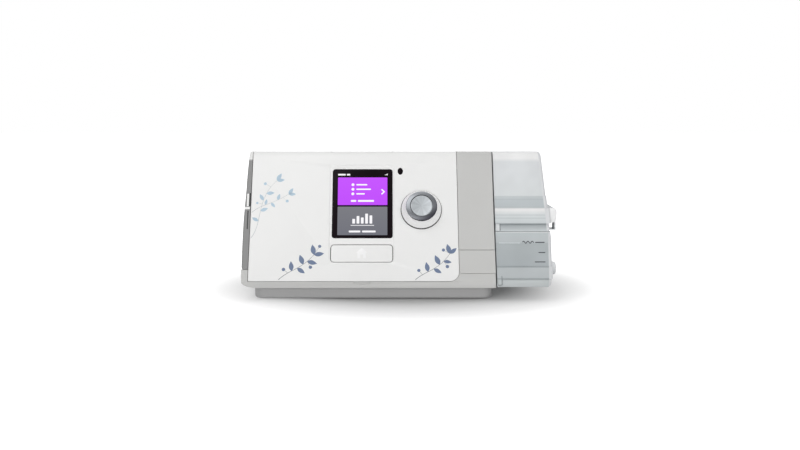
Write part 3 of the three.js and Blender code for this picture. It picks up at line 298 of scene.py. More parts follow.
def run_x(name, sections, bottom, shift=None, step=200.0):
    """The outline run along X through (x, inset) sections; the bottom rises with the inset."""
    loops, splits = [], None
    for x, inset in sections:
        loop = side_outline(inset, bottom + inset)
        ahead = loop[1:] + loop[:1]
        splits = splits or [max(1, round(dist(a, b) / step)) for a, b in zip(loop, ahead)]
        dense = [(x, a[0] + (b[0] - a[0]) * k / n, a[1] + (b[1] - a[1]) * k / n)
                 for a, b, n in zip(loop, ahead, splits) for k in range(n)]
        loops.append([shift(p) for p in dense] if shift else dense)
    return loft(name, loops)


def rounded_end(x, radius, direction, inset=0.0, steps=6):
    """Sections that round the end at x, listed from the inside to the end."""
    return [(x - direction * (radius - rise), inset + more) for rise, more in rounding(radius, steps)]


def ends(left, right, left_round, right_round, inset=0.0, steps=6):
    """Sections of a run along X with both ends rounded."""
    return (rounded_end(left, left_round, -1, inset)[::-1]
            + rounded_end(right, right_round, 1, inset, steps))


def hollow(left, right, wall, bottom):
    return run_x("hollow", [(left, wall), (right, wall)], bottom - wall)


def between(table, z):
    """The value at z in a table of (z, value) places, with straight lines from place to place."""
    (z0, v0), (z1, v1) = next((a, b) for a, b in zip(table, table[1:]) if z <= b[0] or b is table[-1])
    return v0 + (v1 - v0) * min(1.0, max(0.0, (z - z0) / (z1 - z0)))


def left_edge(z):
    """How far the bulging left end reaches at a height: a round foot, then a bent line up to the top."""
    low, middle = BAND_BOTTOM + CORNER_DROP, HEIGHT / 2
    end = LEFT + between(EDGE_FIT, z)
    if z <= low:
        share = max(0.0, (z - BAND_BOTTOM) / (low - BAND_BOTTOM))
        return end + CORNER_WIDTH * (1 - sqrt(max(0.0, 1 - (1 - share) ** 2)))
    a, b, c = ABOVE - 2 * middle + low, 2 * (middle - ABOVE), ABOVE - z
    t = (-b - sqrt(b * b - 4 * a * c)) / (2 * a)
    return end + SIDE_BULGE * (1 - t) ** 2


def side_of_tub(z):
    """Where the outside of the tub's right wall is at a height."""
    lean = TUB_DRAFT * max(0.0, z - TUB_SEAM) / (ABOVE - TUB_SEAM)
    return TUB_RIGHT - lean + between(TUB_SWELL, z)


# Materials: every one is worked out by nodes, from the object's own coordinates except the spun metal's
# painted light, which follows the world direction its surface faces

def tint(code):
    """A written colour as the linear values that a shader takes."""
    parts = [int(code[i:i + 2], 16) / 255 for i in (0, 2, 4)]
    return tuple(v / 12.92 if v <= 0.04045 else ((v + 0.055) / 1.055) ** 2.4 for v in parts) + (1.0,)


def shade(color, factor):
    return tuple(min(1.0, v * factor) for v in color[:3]) + (1.0,)


def put(value, socket):
    """Links a socket to another one, or sets it to a plain value."""
    if isinstance(value, bpy.types.NodeSocket):
        socket.id_data.links.new(value, socket)
    else:
        socket.default_value = value


def fill(node, **values):
    for key, value in values.items():
        put(value, node.inputs[key.replace("_", " ")])


def beside(item, kind):
    """A new node in the same tree as another node or socket."""
    return item.id_data.nodes.new("ShaderNode" + kind)


def add(kind, *values, output=0, operation=None, **named):
    """An output of a new node, with its first inputs and its named ones filled; the first one is a socket."""
    node = beside(values[0], kind)
    if operation:
        node.operation = operation
    for socket, value in zip(node.inputs, values):
        put(value, socket)
    fill(node, **named)
    return node.outputs[output]


def noise(vector, scale, detail=2.0):
    return add("TexNoise", vector, Scale=scale, Detail=detail)


def ranged(value, low=0.0, high=1.0, start=0.3, end=0.7):
    """A value mapped from start and end, which suit a noise, to low and high."""
    return add("MapRange", value, start, end, low, high)


def mixed(share, low, high):
    """A colour between two, each a colour or a socket, by a share that is a socket."""
    node = beside(share, "Mix")
    node.data_type = "RGBA"
    for index, value in ((0, share), (6, low), (7, high)):
        put(value, node.inputs[index])
    return node.outputs[2]


def along(vector, axis):
    return add("SeparateXYZ", vector, output=axis)


def bumped(height, strength, distance):
    node = beside(height, "Bump")
    fill(node, Strength=strength, Distance=distance, Height=height)
    return node.outputs["Normal"]


def shader(name, color, roughness, metallic=0.0, **inputs):
    """A new material, with its main shader and its object coordinates."""
    material = bpy.data.materials.new(name)
    material.use_nodes = True
    main = material.node_tree.nodes["Principled BSDF"]
    fill(main, Base_Color=color, Roughness=roughness, Metallic=metallic, **inputs)
    return material, main, beside(main, "TexCoord").outputs["Object"]


def moulded(name, code, roughness, grain=1500, bump=0.05, spread=0.015, patch=22):
    """Moulded plastic: a fine spark-eroded grain, a faint flow of tone and uneven gloss."""
    color = tint(code)
    material, main, place = shader(name, color, roughness)
    flow = ranged(noise(place, patch, 3.0))
    gloss = ranged(noise(place, patch * 4), roughness - 0.035, roughness + 0.035)
    fill(main, Base_Color=mixed(flow, shade(color, 1 - spread), shade(color, 1 + spread)),
         Roughness=gloss, Normal=bumped(noise(place, grain), bump, 0.0001))
    return material


def printed(name, code, roughness=0.4):
    """Pad-printed ink, a little uneven in tone."""
    return moulded(name, code, roughness, grain=2600, bump=0.03, spread=0.05, patch=160)


def glossy_black(name):
    """Smoked window: a deep brown-black, smooth and only a little reflective."""
    color = tint("0a0307")
    material, main, place = shader(name, color, 0.14, Specular_IOR_Level=0.07)
    fill(main, Base_Color=mixed(ranged(noise(place, 30)), color, tint("140a11")),
         Normal=bumped(noise(place, 60, 1.0), 0.02, 0.0001))
    return material


# Spun metal: how fine its rings are, how much they vary, how wide the turn from painted shade to painted
# highlight is, and the direction from which that painted light falls
SPUN = dict(rings=5200, streaks=0.05, reach=0.3, painted_light_from=(-0.55, 0.35, 0.75))


def turned_metal(name, dark, light, roughness, anisotropy, painted_spokes=0.0):
    """Spun metal: fine rings about the local Z axis, with painted light: it runs from the dark tone (painted
    shade) to the light one (painted highlight) as it faces up and to the left, with streaks of painted
    highlight fanning round the axis.
    """
    material, main, place = shader(name, tint(light), roughness, 1.0, Anisotropic=anisotropy)
    flat = add("VectorMath", place, (1, 1, 0), operation="MULTIPLY")
    around = add("VectorMath", flat, operation="NORMALIZE")
    rings = beside(place, "TexNoise")
    rings.noise_dimensions = "1D"
    radius = add("VectorMath", flat, output="Value", operation="LENGTH")
    fill(rings, W=radius, Scale=SPUN["rings"], Detail=2.0)
    ring = rings.outputs["Fac"]
    # Painted light: the colour turns from the dark tone to the light one as the surface faces the upper left
    normal = beside(place, "NewGeometry").outputs["Normal"]
    painted_light_facing = add("VectorMath", normal, SPUN["painted_light_from"], output="Value", operation="DOT_PRODUCT")
    base = mixed(ranged(painted_light_facing, 0.0, 1.0, -SPUN["reach"], SPUN["reach"]), tint(dark), tint(light))
    streak = ranged(ring, 1 - SPUN["streaks"], 1 + SPUN["streaks"])
    # Painted highlight: streaks of lighter and darker tone fanning round the axis, like spun metal's
    # reflections
    painted_spoke_tone = ranged(noise(around, 2.7, 3.0), 1 - painted_spokes, 1 + painted_spokes, 0.35, 0.65)
    tangent = beside(place, "Tangent")
    tangent.direction_type, tangent.axis = "RADIAL", "Z"
    level = add("Math", streak, painted_spoke_tone, operation="MULTIPLY")
    fill(main, Base_Color=add("VectorMath", base, Scale=level, operation="SCALE"),
         Normal=bumped(ring, 0.10, 0.00004), Tangent=tangent.outputs[0])
    return material


def brushed_metal(name, code, roughness):
    """Plated or stamped sheet with faint lines along X."""
    color = tint(code)
    material, main, place = shader(name, color, roughness, 1.0)
    line = noise(add("Mapping", place, Scale=(60, 2400, 2400)), 1.0)
    fill(main, Base_Color=mixed(ranged(line), shade(color, 0.92), shade(color, 1.05)),
         Roughness=ranged(line, roughness - 0.06, roughness + 0.08),
         Normal=bumped(line, 0.06, 0.00005))
    return material


def circuit_board(name):
    """Lacquered board: copper tracks under green."""
    color = tint("1f5a3c")
    material, main, place = shader(name, color, 0.42, Coat_Weight=0.4)
    cells = beside(place, "TexVoronoi")
    cells.feature = "DISTANCE_TO_EDGE"
    fill(cells, Vector=place, Scale=260.0)
    track = ranged(cells.outputs["Distance"], 1.0, 0.0, 0.02, 0.06)
    fill(main, Base_Color=mixed(track, color, tint("2f7a50")),
         Normal=bumped(track, 0.3, 0.00005))
    return material


def fleece(name, code):
    """Filter fleece: a felted mat of fine fibres."""
    color = tint(code)
    material, main, place = shader(name, color, 0.95, Sheen_Weight=0.3)
    clump = ranged(noise(place, 160, 3.0))
    fill(main, Base_Color=mixed(clump, shade(color, 0.86), color),
         Normal=bumped(noise(place, 1700, 6.0), 0.7, 0.0003))
    return material


def glowing(name, low, high, span=(0.0, 0.1)):
    """A lit patch of the screen that runs from one colour to another over a span of heights."""
    material, main, place = shader(name, tint("0a0a0a"), 0.2, Specular_IOR_Level=0.1)
    share = ranged(along(place, "Z"), 0.0, 1.0, *span)
    fill(main, Emission_Color=mixed(share, tint(low), tint(high)), Emission_Strength=1.0)
    return material


# Clear plastic: its gloss, the wall seen at its right with its blur and the tint of its painted highlight
# band, and the painted shade tone of edges seen at a slant
CLEAR = dict(gloss=0.18, wall=3.0, blur=0.4, painted_wall_highlight="eceef0", outline="a4abae")


def clear_plastic(name, stops, facing, grazing=0.98, cloud=0.05, side=None):
    """Clear plastic with moulded-in haze: its tint follows the height, and its walls look denser where seen
    at a slant, where they also take a painted shade tone.

    The right wall, whose outside passes through the tub's side at two heights, shows as a brighter band, a
    painted highlight along the wall's rounded corner.
    """
    material, main, place = shader(name, tint(stops[0][1]), CLEAR["gloss"])
    height = along(place, "Z")
    ramp = beside(place, "ValToRGB")
    elements = ramp.color_ramp.elements
    while len(elements) < len(stops):
        elements.new(1.0)
    for element, (z, code) in zip(elements, stops):
        element.position = z / HEIGHT
        element.color = tint(code)
    put(ranged(height, 0.0, 1.0, 0.0, HEIGHT * MM), ramp.inputs[0])
    haze = ranged(noise(place, 34), 1 - cloud, 1 + cloud)
    tone = add("VectorMath", ramp.outputs[0], Scale=haze, operation="SCALE")
    if side:
        x0, x1 = map(side_of_tub, side)
        rise = (x0 - x1) / (side[1] - side[0])
        level = add("Math", height, rise, along(place, "X"), operation="MULTIPLY_ADD")
        wall = (x0 + rise * side[0] - CLEAR["wall"]) * MM
        band = ranged(level, 0.0, 1.0, wall, wall + CLEAR["blur"] * MM)
        # Painted highlight: a brighter band along the right wall
        tone = mixed(band, tone, tint(CLEAR["painted_wall_highlight"]))
    weight = beside(place, "LayerWeight")
    fill(weight, Blend=0.32)
    turn = weight.outputs["Facing"]
    # Painted shade: edges seen at a slant turn to a darker tone
    fill(main, Base_Color=mixed(ranged(turn, 0.0, 1.0, 0.46, 0.72), tone, tint(CLEAR["outline"])),
         Alpha=ranged(turn, facing, grazing, 0.05, 0.75),
         Roughness=ranged(haze, CLEAR["gloss"], CLEAR["gloss"] + 0.12),
         Normal=bumped(noise(place, 90), 0.10, 0.0003))
    return material


def paint_highlight_above(material, height, code, blend=1.5):
    """Another, lighter tone above a height: a painted highlight, as on a rounded top that catches the light.
    """
    main = material.node_tree.nodes["Principled BSDF"]
    below = main.inputs["Base Color"].links[0].from_socket
    up = along(beside(main, "TexCoord").outputs["Object"], "Z")
    share = ranged(up, 0.0, 1.0, height * MM, (height + blend) * MM)
    fill(main, Base_Color=mixed(share, below, tint(code)))
    return material


WHITE = moulded("cover_plastic", "f4f4f3", 0.34)
KNOB_WHITE = moulded("knob_plastic", "ffffff", 0.30)
LIGHT = moulded("housing_plastic", "cacac8", 0.38)
# The side panel's rounded top is painted lighter, a painted highlight
MID = paint_highlight_above(moulded("side_plastic", "8d8d8d", 0.42, grain=1100, bump=0.09), 110.5, "eeeeed")
DARK = moulded("base_plastic", "c2c2c2", 0.50, grain=900, bump=0.12)
SHADOW = moulded("gap_shadow", "3c3c3e", 0.6)
BLACK_PLASTIC = moulded("socket_plastic", "242425", 0.45, grain=1200, bump=0.08)
CREAM = moulded("duct_plastic", "dcdad2", 0.50, grain=1000, bump=0.07)
RUBBER = moulded("foot_rubber", "343435", 0.82, grain=2600, bump=0.25, spread=0.06, patch=90)
GLASS = glossy_black("screen_window")
# The dial's metals: each runs from its first tone, painted shade, to its second, painted highlight, by the
# way its surface faces
RING_METAL = turned_metal("knob_rim_metal", "303035", "8f9296", 0.24, 0.5)
DISC_METAL = turned_metal("knob_disc_metal", "9ea3a6", "b8bcbf", 0.30, 0.6, painted_spokes=0.12)
SHEET_METAL = brushed_metal("sheet_metal", "c4c6c9", 0.30)
BOARD = circuit_board("board_laminate")
FLEECE = fleece("filter_fleece", "e6e6e1")
SEAL = moulded("seal_silicone", "dfe3e6", 0.55, grain=2200, bump=0.05)
INK_GREY = printed("mark_ink", "4c4f54")
# A grey painted as the shade along the edges of the tub's clear guides
PAINTED_EDGE_SHADE = moulded("dense_edge_plastic", "83898c", 0.3)

# The tub's tints by height, with painted light among them: thin dark lines are painted shade at the edges of
# its rim, ribs, steps and skirt, and white bands are painted highlights on the rim's top edge, just under the
# seam and on the lid's rounded top
LID_TINT_AND_PAINTED_LIGHT = [(54, "dde3e5"), (60.4, "aeb5b8"), (61.4, "dfe5e7"), (64.4, "e3e9ea"), (64.8, "c3cacd"),
            (65.2, "e3e9ea"), (66.9, "e6ebec"), (67.2, "c6cdd0"), (67.6, "e6ebec"), (71.2, "ffffff"),
            (72.3, "ffffff"), (73.0, "c6cccf"), (74.4, "ccd3d6"), (79.2, "d0d7da"), (79.5, "bcc3c6"),
            (80.0, "d3dadc"), (82.0, "d8dee0"), (82.4, "ecf0f1"), (100, "eaedef"), (109.5, "e9ecee"),
            (112.5, "ffffff")]
BASE_TINT_AND_PAINTED_LIGHT = [(12, "d3d9da"), (17.6, "d3d9da"), (18.4, "a9b0b3"), (19.2, "ced4d6"), (26.6, "d0d6d8"),
             (27.4, "9fa6a9"), (28.2, "c0c7ca"), (45.2, "c2c9cb"), (46, "d0d6d8"), (53, "d3dadc"),
             (53.8, "f2f5f6")]
TAB_TINT = [(54, "f0f3f4"), (60, "ffffff"), (73, "ffffff")]
TUB_TOP = clear_plastic("tub_lid_plastic", LID_TINT_AND_PAINTED_LIGHT, 0.84, cloud=0.06, side=(60, 110))
TUB = clear_plastic("tub_base_plastic", BASE_TINT_AND_PAINTED_LIGHT, 0.80, side=(20, 50))
TAB_PLASTIC = clear_plastic("tub_tab_plastic", TAB_TINT, 0.95, 1.0)


def dress(obj, material, body, slot, *nodes):
    obj.data.materials.clear()
    obj.data.materials.append(material)
    if nodes:
        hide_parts(*nodes)
    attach(obj, body)


# The pieces of the front face in X and the distance up it, and the start button in X and Y
RECESS = dict(left=-57.5, right=-4.3, low=13.9, high=100.3, depth=0.8, corner=5, flare=1.5)
LENS = dict(left=-54.8, right=-5.8, low=36.5, high=96.2, thick=1.6, corner=2)
HOME = dict(left=-55.7, right=-5.5, low=16, high=30.8, thick=4.4, corner=2.8, rim=0.3)
SENSOR = dict(x=0.85, up=94.3, width=3.9, height=5.7, thick=2.2)
DIAL = dict(x=17.8, up=60.4, hole=4.2)
KNOB = dict(low=0.9, foot=16.3, neck=13.1, seat=8, hub=5, hollow=3.6, wall=1.8, bore=2.3)
TRIM = dict(outer=12.7, inner=8.8, edge=0.9, height=10.4, dish=0.5)
START = dict(left=-56.7, right=-5.4, low=SHOULDER_Y - 4.6, high=SHOULDER_Y + 9.4, thick=4, corner=3)
LABEL = dict(low=6.4, high=26, thick=1)
SCALLOP = dict(x=-30, width=15.3, depth=2.5, reach=1.2)
COVER_CORNER = 7.7
MOUTH = dict(y=(-38, 48), top=74)
OUTLET = dict(x=62, z=92, radius=11, bore=9.3, length=26, collar=(-13, -10.9), proud=1.2)


def spread(span, by=GAP, steps=8):
    return round_rect(span["left"] - by, span["right"] + by, span["low"] - by, span["high"] + by,
                      span["corner"] + by, steps)


def start_column(by):
    """An upright prism under the start button's outline."""
    return prism("column", spread(START, by), (FLOOR, ABOVE))


def cover_hollow(wall=WALL):
    return hollow(COVER_LEFT - OVER, COVER_RIGHT + OVER, wall, COVER_FOOT - OVER)


def sensor_loop(by=0.0):
    return ellipse(SENSOR["x"], SENSOR["up"], SENSOR["width"] / 2 + by, SENSOR["height"] / 2 + by)


def corner_loop(by):
    """What the cover's rounded lower right corner leaves to the housing."""
    return arc(COVER_RIGHT - COVER_CORNER, COVER_CORNER, COVER_CORNER + by, -QUARTER, 0, 14)


def outlet_place(y):
    """A frame at the outlet whose Z points to the rear."""
    return at(OUTLET["x"], y, OUTLET["z"]) @ Matrix.Rotation(-QUARTER, 4, "X")


def cover_shell():
    shell = run_x("cover_shell", ends(COVER_LEFT, COVER_RIGHT, 0.9, 0.5), COVER_FOOT)
    far = COVER_RIGHT + OVER
    corner = corner_loop(0) + [(far, COVER_CORNER), (far, -OVER), (COVER_RIGHT - COVER_CORNER, -OVER)]
    boolean(shell, [
        cover_hollow(),
        block("rear", (LEFT, RIGHT), (REAR_WALL - REAR_DEPTH - GAP, ALL_Y[1]), (0, ABOVE)),
        start_column(GAP),
        face_cutter(spread(RECESS, -1.0), -RECESS["depth"], 0.3, RECESS["flare"]),
        face_cutter(spread(LENS)),
        face_cutter(spread(HOME)),
        face_cutter(circle(DIAL["x"], DIAL["up"], DIAL["hole"], 40)),
        face_cutter(sensor_loop(GAP)),
        face_cutter(corner),
    ])
    bevel(shell, 0.32)
    dress(shell, WHITE, "machine", "white_plastic", "front_top_cover")


def bulge_prism():
    """What bounds the bulging left end, seen from the front."""
    low = BAND_BOTTOM + CORNER_DROP
    heights = [BAND_BOTTOM + inset for _, inset in rounding(CORNER_DROP, 12)]
    heights += [low + (ABOVE - low) * k / 24 for k in range(1, 25)]
    shape = [(left_edge(z), z) for z in heights] + [(RIGHT + OVER, ABOVE), (RIGHT + OVER, BAND_BOTTOM)]
    return prism_y("bulge", shape, ALL_Y)


def housing_shell():
    shell = run_x("housing_shell", [(LEFT, 0), *rounded_end(RIGHT, 0.8, 1)], BAND_BOTTOM)
    boolean(shell, [bulge_prism()], "INTERSECT")
    x, half, depth = SCALLOP["x"], SCALLOP["width"] / 2, SCALLOP["depth"]
    top, foot = COVER_FOOT + OVER, COVER_FOOT - GAP
    dip = [(x - half, top), (x - half, foot), (x - half + depth, foot - depth)]
    dip += [(2 * x - a, b) for a, b in dip[::-1]]
    label = rect((RIGHT - BLOCK_WIDTH - GAP, RIGHT + OVER), (LABEL["low"] - GAP, LABEL["high"] + GAP))
    boolean(shell, [
        hollow(LEFT + WALL, RIGHT - WALL, WALL, FLOOR),
        block("cover_space", (COVER_LEFT - GAP, COVER_RIGHT + GAP), ALL_Y, (COVER_FOOT - GAP, ABOVE)),
        block("side_space", (LEFT - OVER, COVER_LEFT), ALL_Y, (SIDE_FOOT, ABOVE)),
        block("mouth", (RIGHT - WALL - OVER, RIGHT + OVER), MOUTH["y"], (FLOOR, MOUTH["top"])),
        prism_y("scallop", dip, (FRONT - OVER, FRONT + SCALLOP["reach"])),
        face_cutter(label, -LABEL["thick"] - GAP),
        rod("outlet_hole", OUTLET["radius"] + GAP, (-OVER, OVER * 2), outlet_place(REAR_WALL - OVER), 96),
    ])
    far, under = COVER_RIGHT + GAP + 1, -1.5 * GAP
    loop = corner_loop(GAP) + [(far, COVER_CORNER), (far, under), (COVER_RIGHT - COVER_CORNER, under)]
    boolean(shell, [prism("filler", loop, (-WALL, 0), FACE)], "UNION")
    bevel(shell, 0.3)
    dress(shell, LIGHT, "machine", "light_grey_plastic", "main_housing")


def label_plate():
    loop = round_rect(RIGHT - BLOCK_WIDTH, RIGHT, LABEL["low"], LABEL["high"], 0.3, 2)
    piece = plate("label_plate_skin", loop, -LABEL["thick"], 0, 0.45)
    dress(piece, LIGHT, "machine", "light_grey_plastic", "label_plate")


# The left end and its two flaps
FLAPS = dict(sd_cover=(73, 83.4, "card_flap"), adapter_cover=(56.4, 72.4, "adapter_flap"))
FLAP_Y = (-39, -17)
FLAP_THICK = 1.2
PANEL = dict(bottom=SIDE_FOOT + GAP, edge=2.2, wall=1.5)


def bulged(p):
    """A point given from the flat left end, laid on the bulging one."""
    x, y, z = p
    inner = COVER_LEFT - GAP
    return (x + (left_edge(z) - LEFT) * (inner - x) / (inner - LEFT), y, z)


def end_panel(name):
    sections = rounded_end(LEFT, PANEL["edge"], -1, steps=8)[::-1] + [(COVER_LEFT - GAP, 0)]
    return run_x(name, sections, PANEL["bottom"], bulged, 4.0)


def side_panel():
    shell = end_panel("side_shell")
    y = (FLAP_Y[0] - GAP, FLAP_Y[1] + GAP)
    windows = [block("window", (LEFT - OVER, COVER_LEFT), y, (low - GAP, high + GAP))
               for low, high, _ in FLAPS.values()]
    inner = hollow(LEFT + SIDE_BULGE + PANEL["wall"], COVER_LEFT + OVER, WALL, PANEL["bottom"] - OVER)
    boolean(shell, [inner, *windows])
    bevel(shell, 0.3, 2)
    dress(shell, MID, "machine", "mid_grey_plastic", "left_side_panel")


def flaps():
    """Each flap is cut from the end panel's own skin, a little low so that its top clears as it opens."""
    for node, (low, high, body) in FLAPS.items():
        cap = end_panel(node + "_skin")
        part = block("part", (LEFT - OVER, LEFT + SIDE_BULGE + FLAP_THICK), FLAP_Y, (low, high - GAP))
        boolean(cap, [part], "INTERSECT")
        bevel(cap, 0.4)
        dress(cap, LIGHT, body, "light_grey_plastic", node)


# The controls on the face

def screen_window():
    top = -RECESS["depth"]
    loop = spread(LENS, 0, 10)
    dress(plate("screen_window_pane", loop, top - LENS["thick"], top, 0.35),
          GLASS, "machine", "black_glass", "display_lens")


def home_key():
    top = HOME["rim"] - RECESS["depth"]
    dress(plate("home_key_cap", spread(HOME, -0.25), top - HOME["rim"] - HOME["thick"], top, 0.7),
          WHITE, "home_key", "white_plastic", "home_button")


def sensor_window():
    dress(plate("sensor_window", sensor_loop(), -SENSOR["thick"], 0, 0.5),
          GLASS, "machine", "black_glass", "light_sensor_window")


def start_key():
    """The start button keeps the bend of the machine's top."""
    cap = run_x("start_key_cap", [(COVER_LEFT, 0), (COVER_RIGHT, 0)], COVER_FOOT)
    boolean(cap, [cover_hollow(START["thick"])])
    boolean(cap, [start_column(0)], "INTERSECT")
    bevel(cap, 0.4)
    dress(cap, WHITE, "start_key", "white_plastic", "start_button")


def on_dial(name, profile, material, body, slot, *nodes):
    """A turned piece that keeps the dial's axis as its own Z, so that its finish follows it."""
    piece = turned(name, profile, Matrix.Identity(4), 128)
    place = FACE @ at(DIAL["x"], DIAL["up"], 0)
    place.translation *= MM
    piece.matrix_world = place
    bpy.context.view_layer.update()
    dress(piece, material, body, slot, *nodes)


def dial():
    low, foot, neck, seat = KNOB["low"], KNOB["foot"], KNOB["neck"], KNOB["seat"]
    hub, inside, bore, wall = KNOB["hub"], low + KNOB["hollow"], KNOB["bore"], KNOB["wall"]
    slope = atan2(foot - neck, seat - low) * 180 / pi
    cone = [(bore, low), (hub, low), (hub, inside), (neck - wall, inside), (foot - wall, low)]
    cone += fillet(foot - 0.5, low + 0.45, 0.45, -90, slope)
    cone += fillet(neck - 0.6, seat - 0.6, 0.6, slope, 90) + [(bore, seat)]
    on_dial("dial_body_cone", cone, KNOB_WHITE, "dial", "white_plastic", "dial_skirt")
    # A dark ring painted as the shadow in the gap round the cone's foot
    gap = [(foot - 1, 0.02), (foot + 0.55, 0.02), (foot + 0.45, 0.14), (foot - 1, 0.14)]
    on_dial("dial_foot_gap", gap, SHADOW, "machine", "dark_grey_plastic")
    base, top, outer, inner = seat + GAP, TRIM["height"], TRIM["outer"], TRIM["inner"]
    rim = [(inner + GAP, base)] + fillet(outer - 0.2, base + 0.2, 0.2, -90, 0, 3)
    rim += fillet(outer - 0.6, base + TRIM["edge"] - 0.2, 0.6, 0, 70, 6)
    rim += fillet(inner + GAP + 0.25, top - 0.25, 0.25, 70, 180, 5)
    on_dial("dial_rim", rim, RING_METAL, "dial", "metal", "dial_ring")
    disc = [(0, base), (inner - 0.2, base), (inner, base + 0.2)]
    disc += fillet(inner - 0.3, top - 0.4, 0.3, 0, 90, 4)
    disc += [(inner * (1 - k / 8), top - 0.1 - TRIM["dish"] * sin(QUARTER * k / 8)) for k in range(1, 8)]
    on_dial("dial_disc", disc + [(0, top - 0.1 - TRIM["dish"])], DISC_METAL, "dial", "metal", "dial_face")


# The pedestal and its feet

# The tray's outline in X and Y, and where the feet and the screws stand in from it
TRAY = dict(left=LEFT + 10, right=RIGHT - 1.9, low=FRONT + 10, high=REAR_WALL - 5, corner=9)
FOOT_INSET, SCREW_INSET = 12, 26


def tray_corners(by):
    return [at(x, y, 0) for x in (TRAY["left"] + by, TRAY["right"] - by)
            for y in (TRAY["low"] + by, TRAY["high"] - by)]


def pedestal():
    low, lead = 0.7, 1.7
    levels = [(low + inset, lead - rise) for rise, inset in rounding(lead, 8)] + [(BAND_BOTTOM - GAP, 0)]
    shell = loft("pedestal_shell", [raised(spread(TRAY, -by, 12), z) for z, by in levels])
    boolean(shell, [prism("inside", spread(TRAY, -WALL, 12), (low + WALL, HEIGHT))])
    wells = [rod("well", 3.7, (0, 5.3), place, 40) for place in tray_corners(SCREW_INSET)]
    wells += [rod("pad_well", 7.3, (0, 2), place, 48) for place in tray_corners(FOOT_INSET)]
    boolean(shell, wells)
    dress(shell, DARK, "machine", "dark_grey_plastic", "base_tray")


def feet():
    pad = [(0, 0), (6.2, 0)] + fillet(6.4, 0.6, 0.6, -90, 0, 4) + [(7, 1.7), (0, 1.7)]
    groove = rect((4.6, 5.0), (-1, 0.35))
    names = ("front_left", "rear_left", "front_right", "rear_right")
    for name, place in zip(names, tray_corners(FOOT_INSET)):
        piece = turned("foot_pad_" + name, pad, place, 48)
        boolean(piece, [turned("groove", groove, place, 48)])
        dress(piece, RUBBER, "machine", "rubber", "foot_" + name)


# The water tub: base, lid and what they hold

TONGUE = dict(x=(39, 78.2), y=(-37, 47), z=(16.5, 70.5))
RIM = dict(low=60.5, high=72.7, proud=1.5)
STEP_UP = dict(low=71, high=81.8, proud=0.35)
SKIRT = dict(low=18.2, high=27.9, proud=0.7)
GRIP = dict(front=-48, rear=30, corner=3.4, lead=1.6)
HOOK = dict(low=54.3, left=121.2, deep=14)
BOSS = dict(radius=5.3, y=-63, z=25.4)
HINGE = dict(y=REAR_WALL + 3.4, z=56, radius=2.8, bore=1.5, knuckle=(91.75, 107.75))
EARS = dict(left=(83.95, 91.45), right=(108.05, 115.55))
TUB_WALL = 2
# How much nearer to the casing the tub's wall is drawn than its solid
TUB_NEARER = 0.7
TUB_EDGE, INNER_EDGE = 3.4, 1.6


def tub_run(name, inset, bottom, right_round):
    """A run whose right side swells a little and leans in towards the top."""
    left, right = TUB_LEFT - TUB_NEARER + max(inset, 0), TUB_RIGHT - inset
    piece = run_x(name, ends(left, right, 0.9, right_round, inset, 8), bottom - inset)
    bm = bmesh.new()
    bm.from_mesh(piece.data)
    for z in [place[0] for place in TUB_SWELL[1:-1]] + [TUB_SEAM]:
        bmesh.ops.bisect_plane(bm, geom=[*bm.verts, *bm.edges, *bm.faces], plane_co=(0, 0, z * MM),
                               plane_no=(0, 0, 1))
    for vert in bm.verts:
        share = (vert.co.x / MM - TUB_LEFT) / TUB_WIDTH
        vert.co.x += (side_of_tub(vert.co.z / MM) - TUB_RIGHT) * share * MM
    bm.to_mesh(piece.data)
    bm.free()
    return piece


def tub_band(size):
    """A band that stands proud of the tub's walls."""
    band = tub_run("band", -size["proud"], BAND_BOTTOM, 3.0)
    slab = block("slab", (TUB_LEFT - OVER, MACHINE_END), (FRONT - OVER, REAR_WALL - GAP),
                 (size["low"], size["high"]))
    return boolean(band, [slab], "INTERSECT")


def grip(name, size, outer):
    """A rounded handle along the right side of a band."""
    base = TUB_RIGHT - TUB_WALL / 2
    shape = round_rect(base, outer, size["low"], size["high"], GRIP["corner"])
    lead = [(GRIP["lead"] * inset, 0.5 + 0.5 * rise) for rise, inset in rounding(1, 6)]
    span = [(GRIP["front"] + d, s) for d, s in lead] + [(GRIP["rear"] - d, s) for d, s in lead[::-1]]
    return loft(name, [[(base + (x - base) * s, y, z) for x, z in shape] for y, s in span])


def hinge_rod(name, radius, left, right):
    return rod(name, radius, (left, right), along_x(0, HINGE["y"], HINGE["z"]), 40)


def tub_lid():
    lid = tub_run("tub_lid_shell", 0, TUB_SEAM, TUB_EDGE)
    bridge = block("bridge", HINGE["knuckle"], (REAR_WALL - 1, HINGE["y"]), (HINGE["z"], HINGE["z"] + 4))
    knuckle = hinge_rod("knuckle", HINGE["radius"], *HINGE["knuckle"])
    boolean(lid, [tub_band(RIM), tub_band(STEP_UP), bridge, knuckle], "UNION")
    boolean(lid, [tub_run("inside", TUB_WALL, TUB_SEAM - OVER, INNER_EDGE),
                  hinge_rod("bore", HINGE["bore"], EARS["left"][0] - OVER, EARS["right"][1] + OVER)])
    bevel(lid, 0.25, 2)
    dress(lid, TUB_TOP, "tub_top", "clear_plastic", "tub_lid")


def tub_tab():
    """The milky grip at the lid's right, with the hook that its user lifts."""
    end, low = MACHINE_END + 1.2, HOOK["low"]
    tab = grip("tub_tab", RIM, end)
    y = (GRIP["front"] + 0.6, GRIP["front"] + HOOK["deep"])
    boolean(tab, [block("hook_wall", (end - 1.8, end - 0.6), y, (low, RIM["low"] + 2)),
                  block("hook_floor", (HOOK["left"], end - 0.6), y, (low, low + 0.9))], "UNION")
    bevel(tab, 0.3, 2)
    dress(tab, TAB_PLASTIC, "tub_top", "clear_plastic")


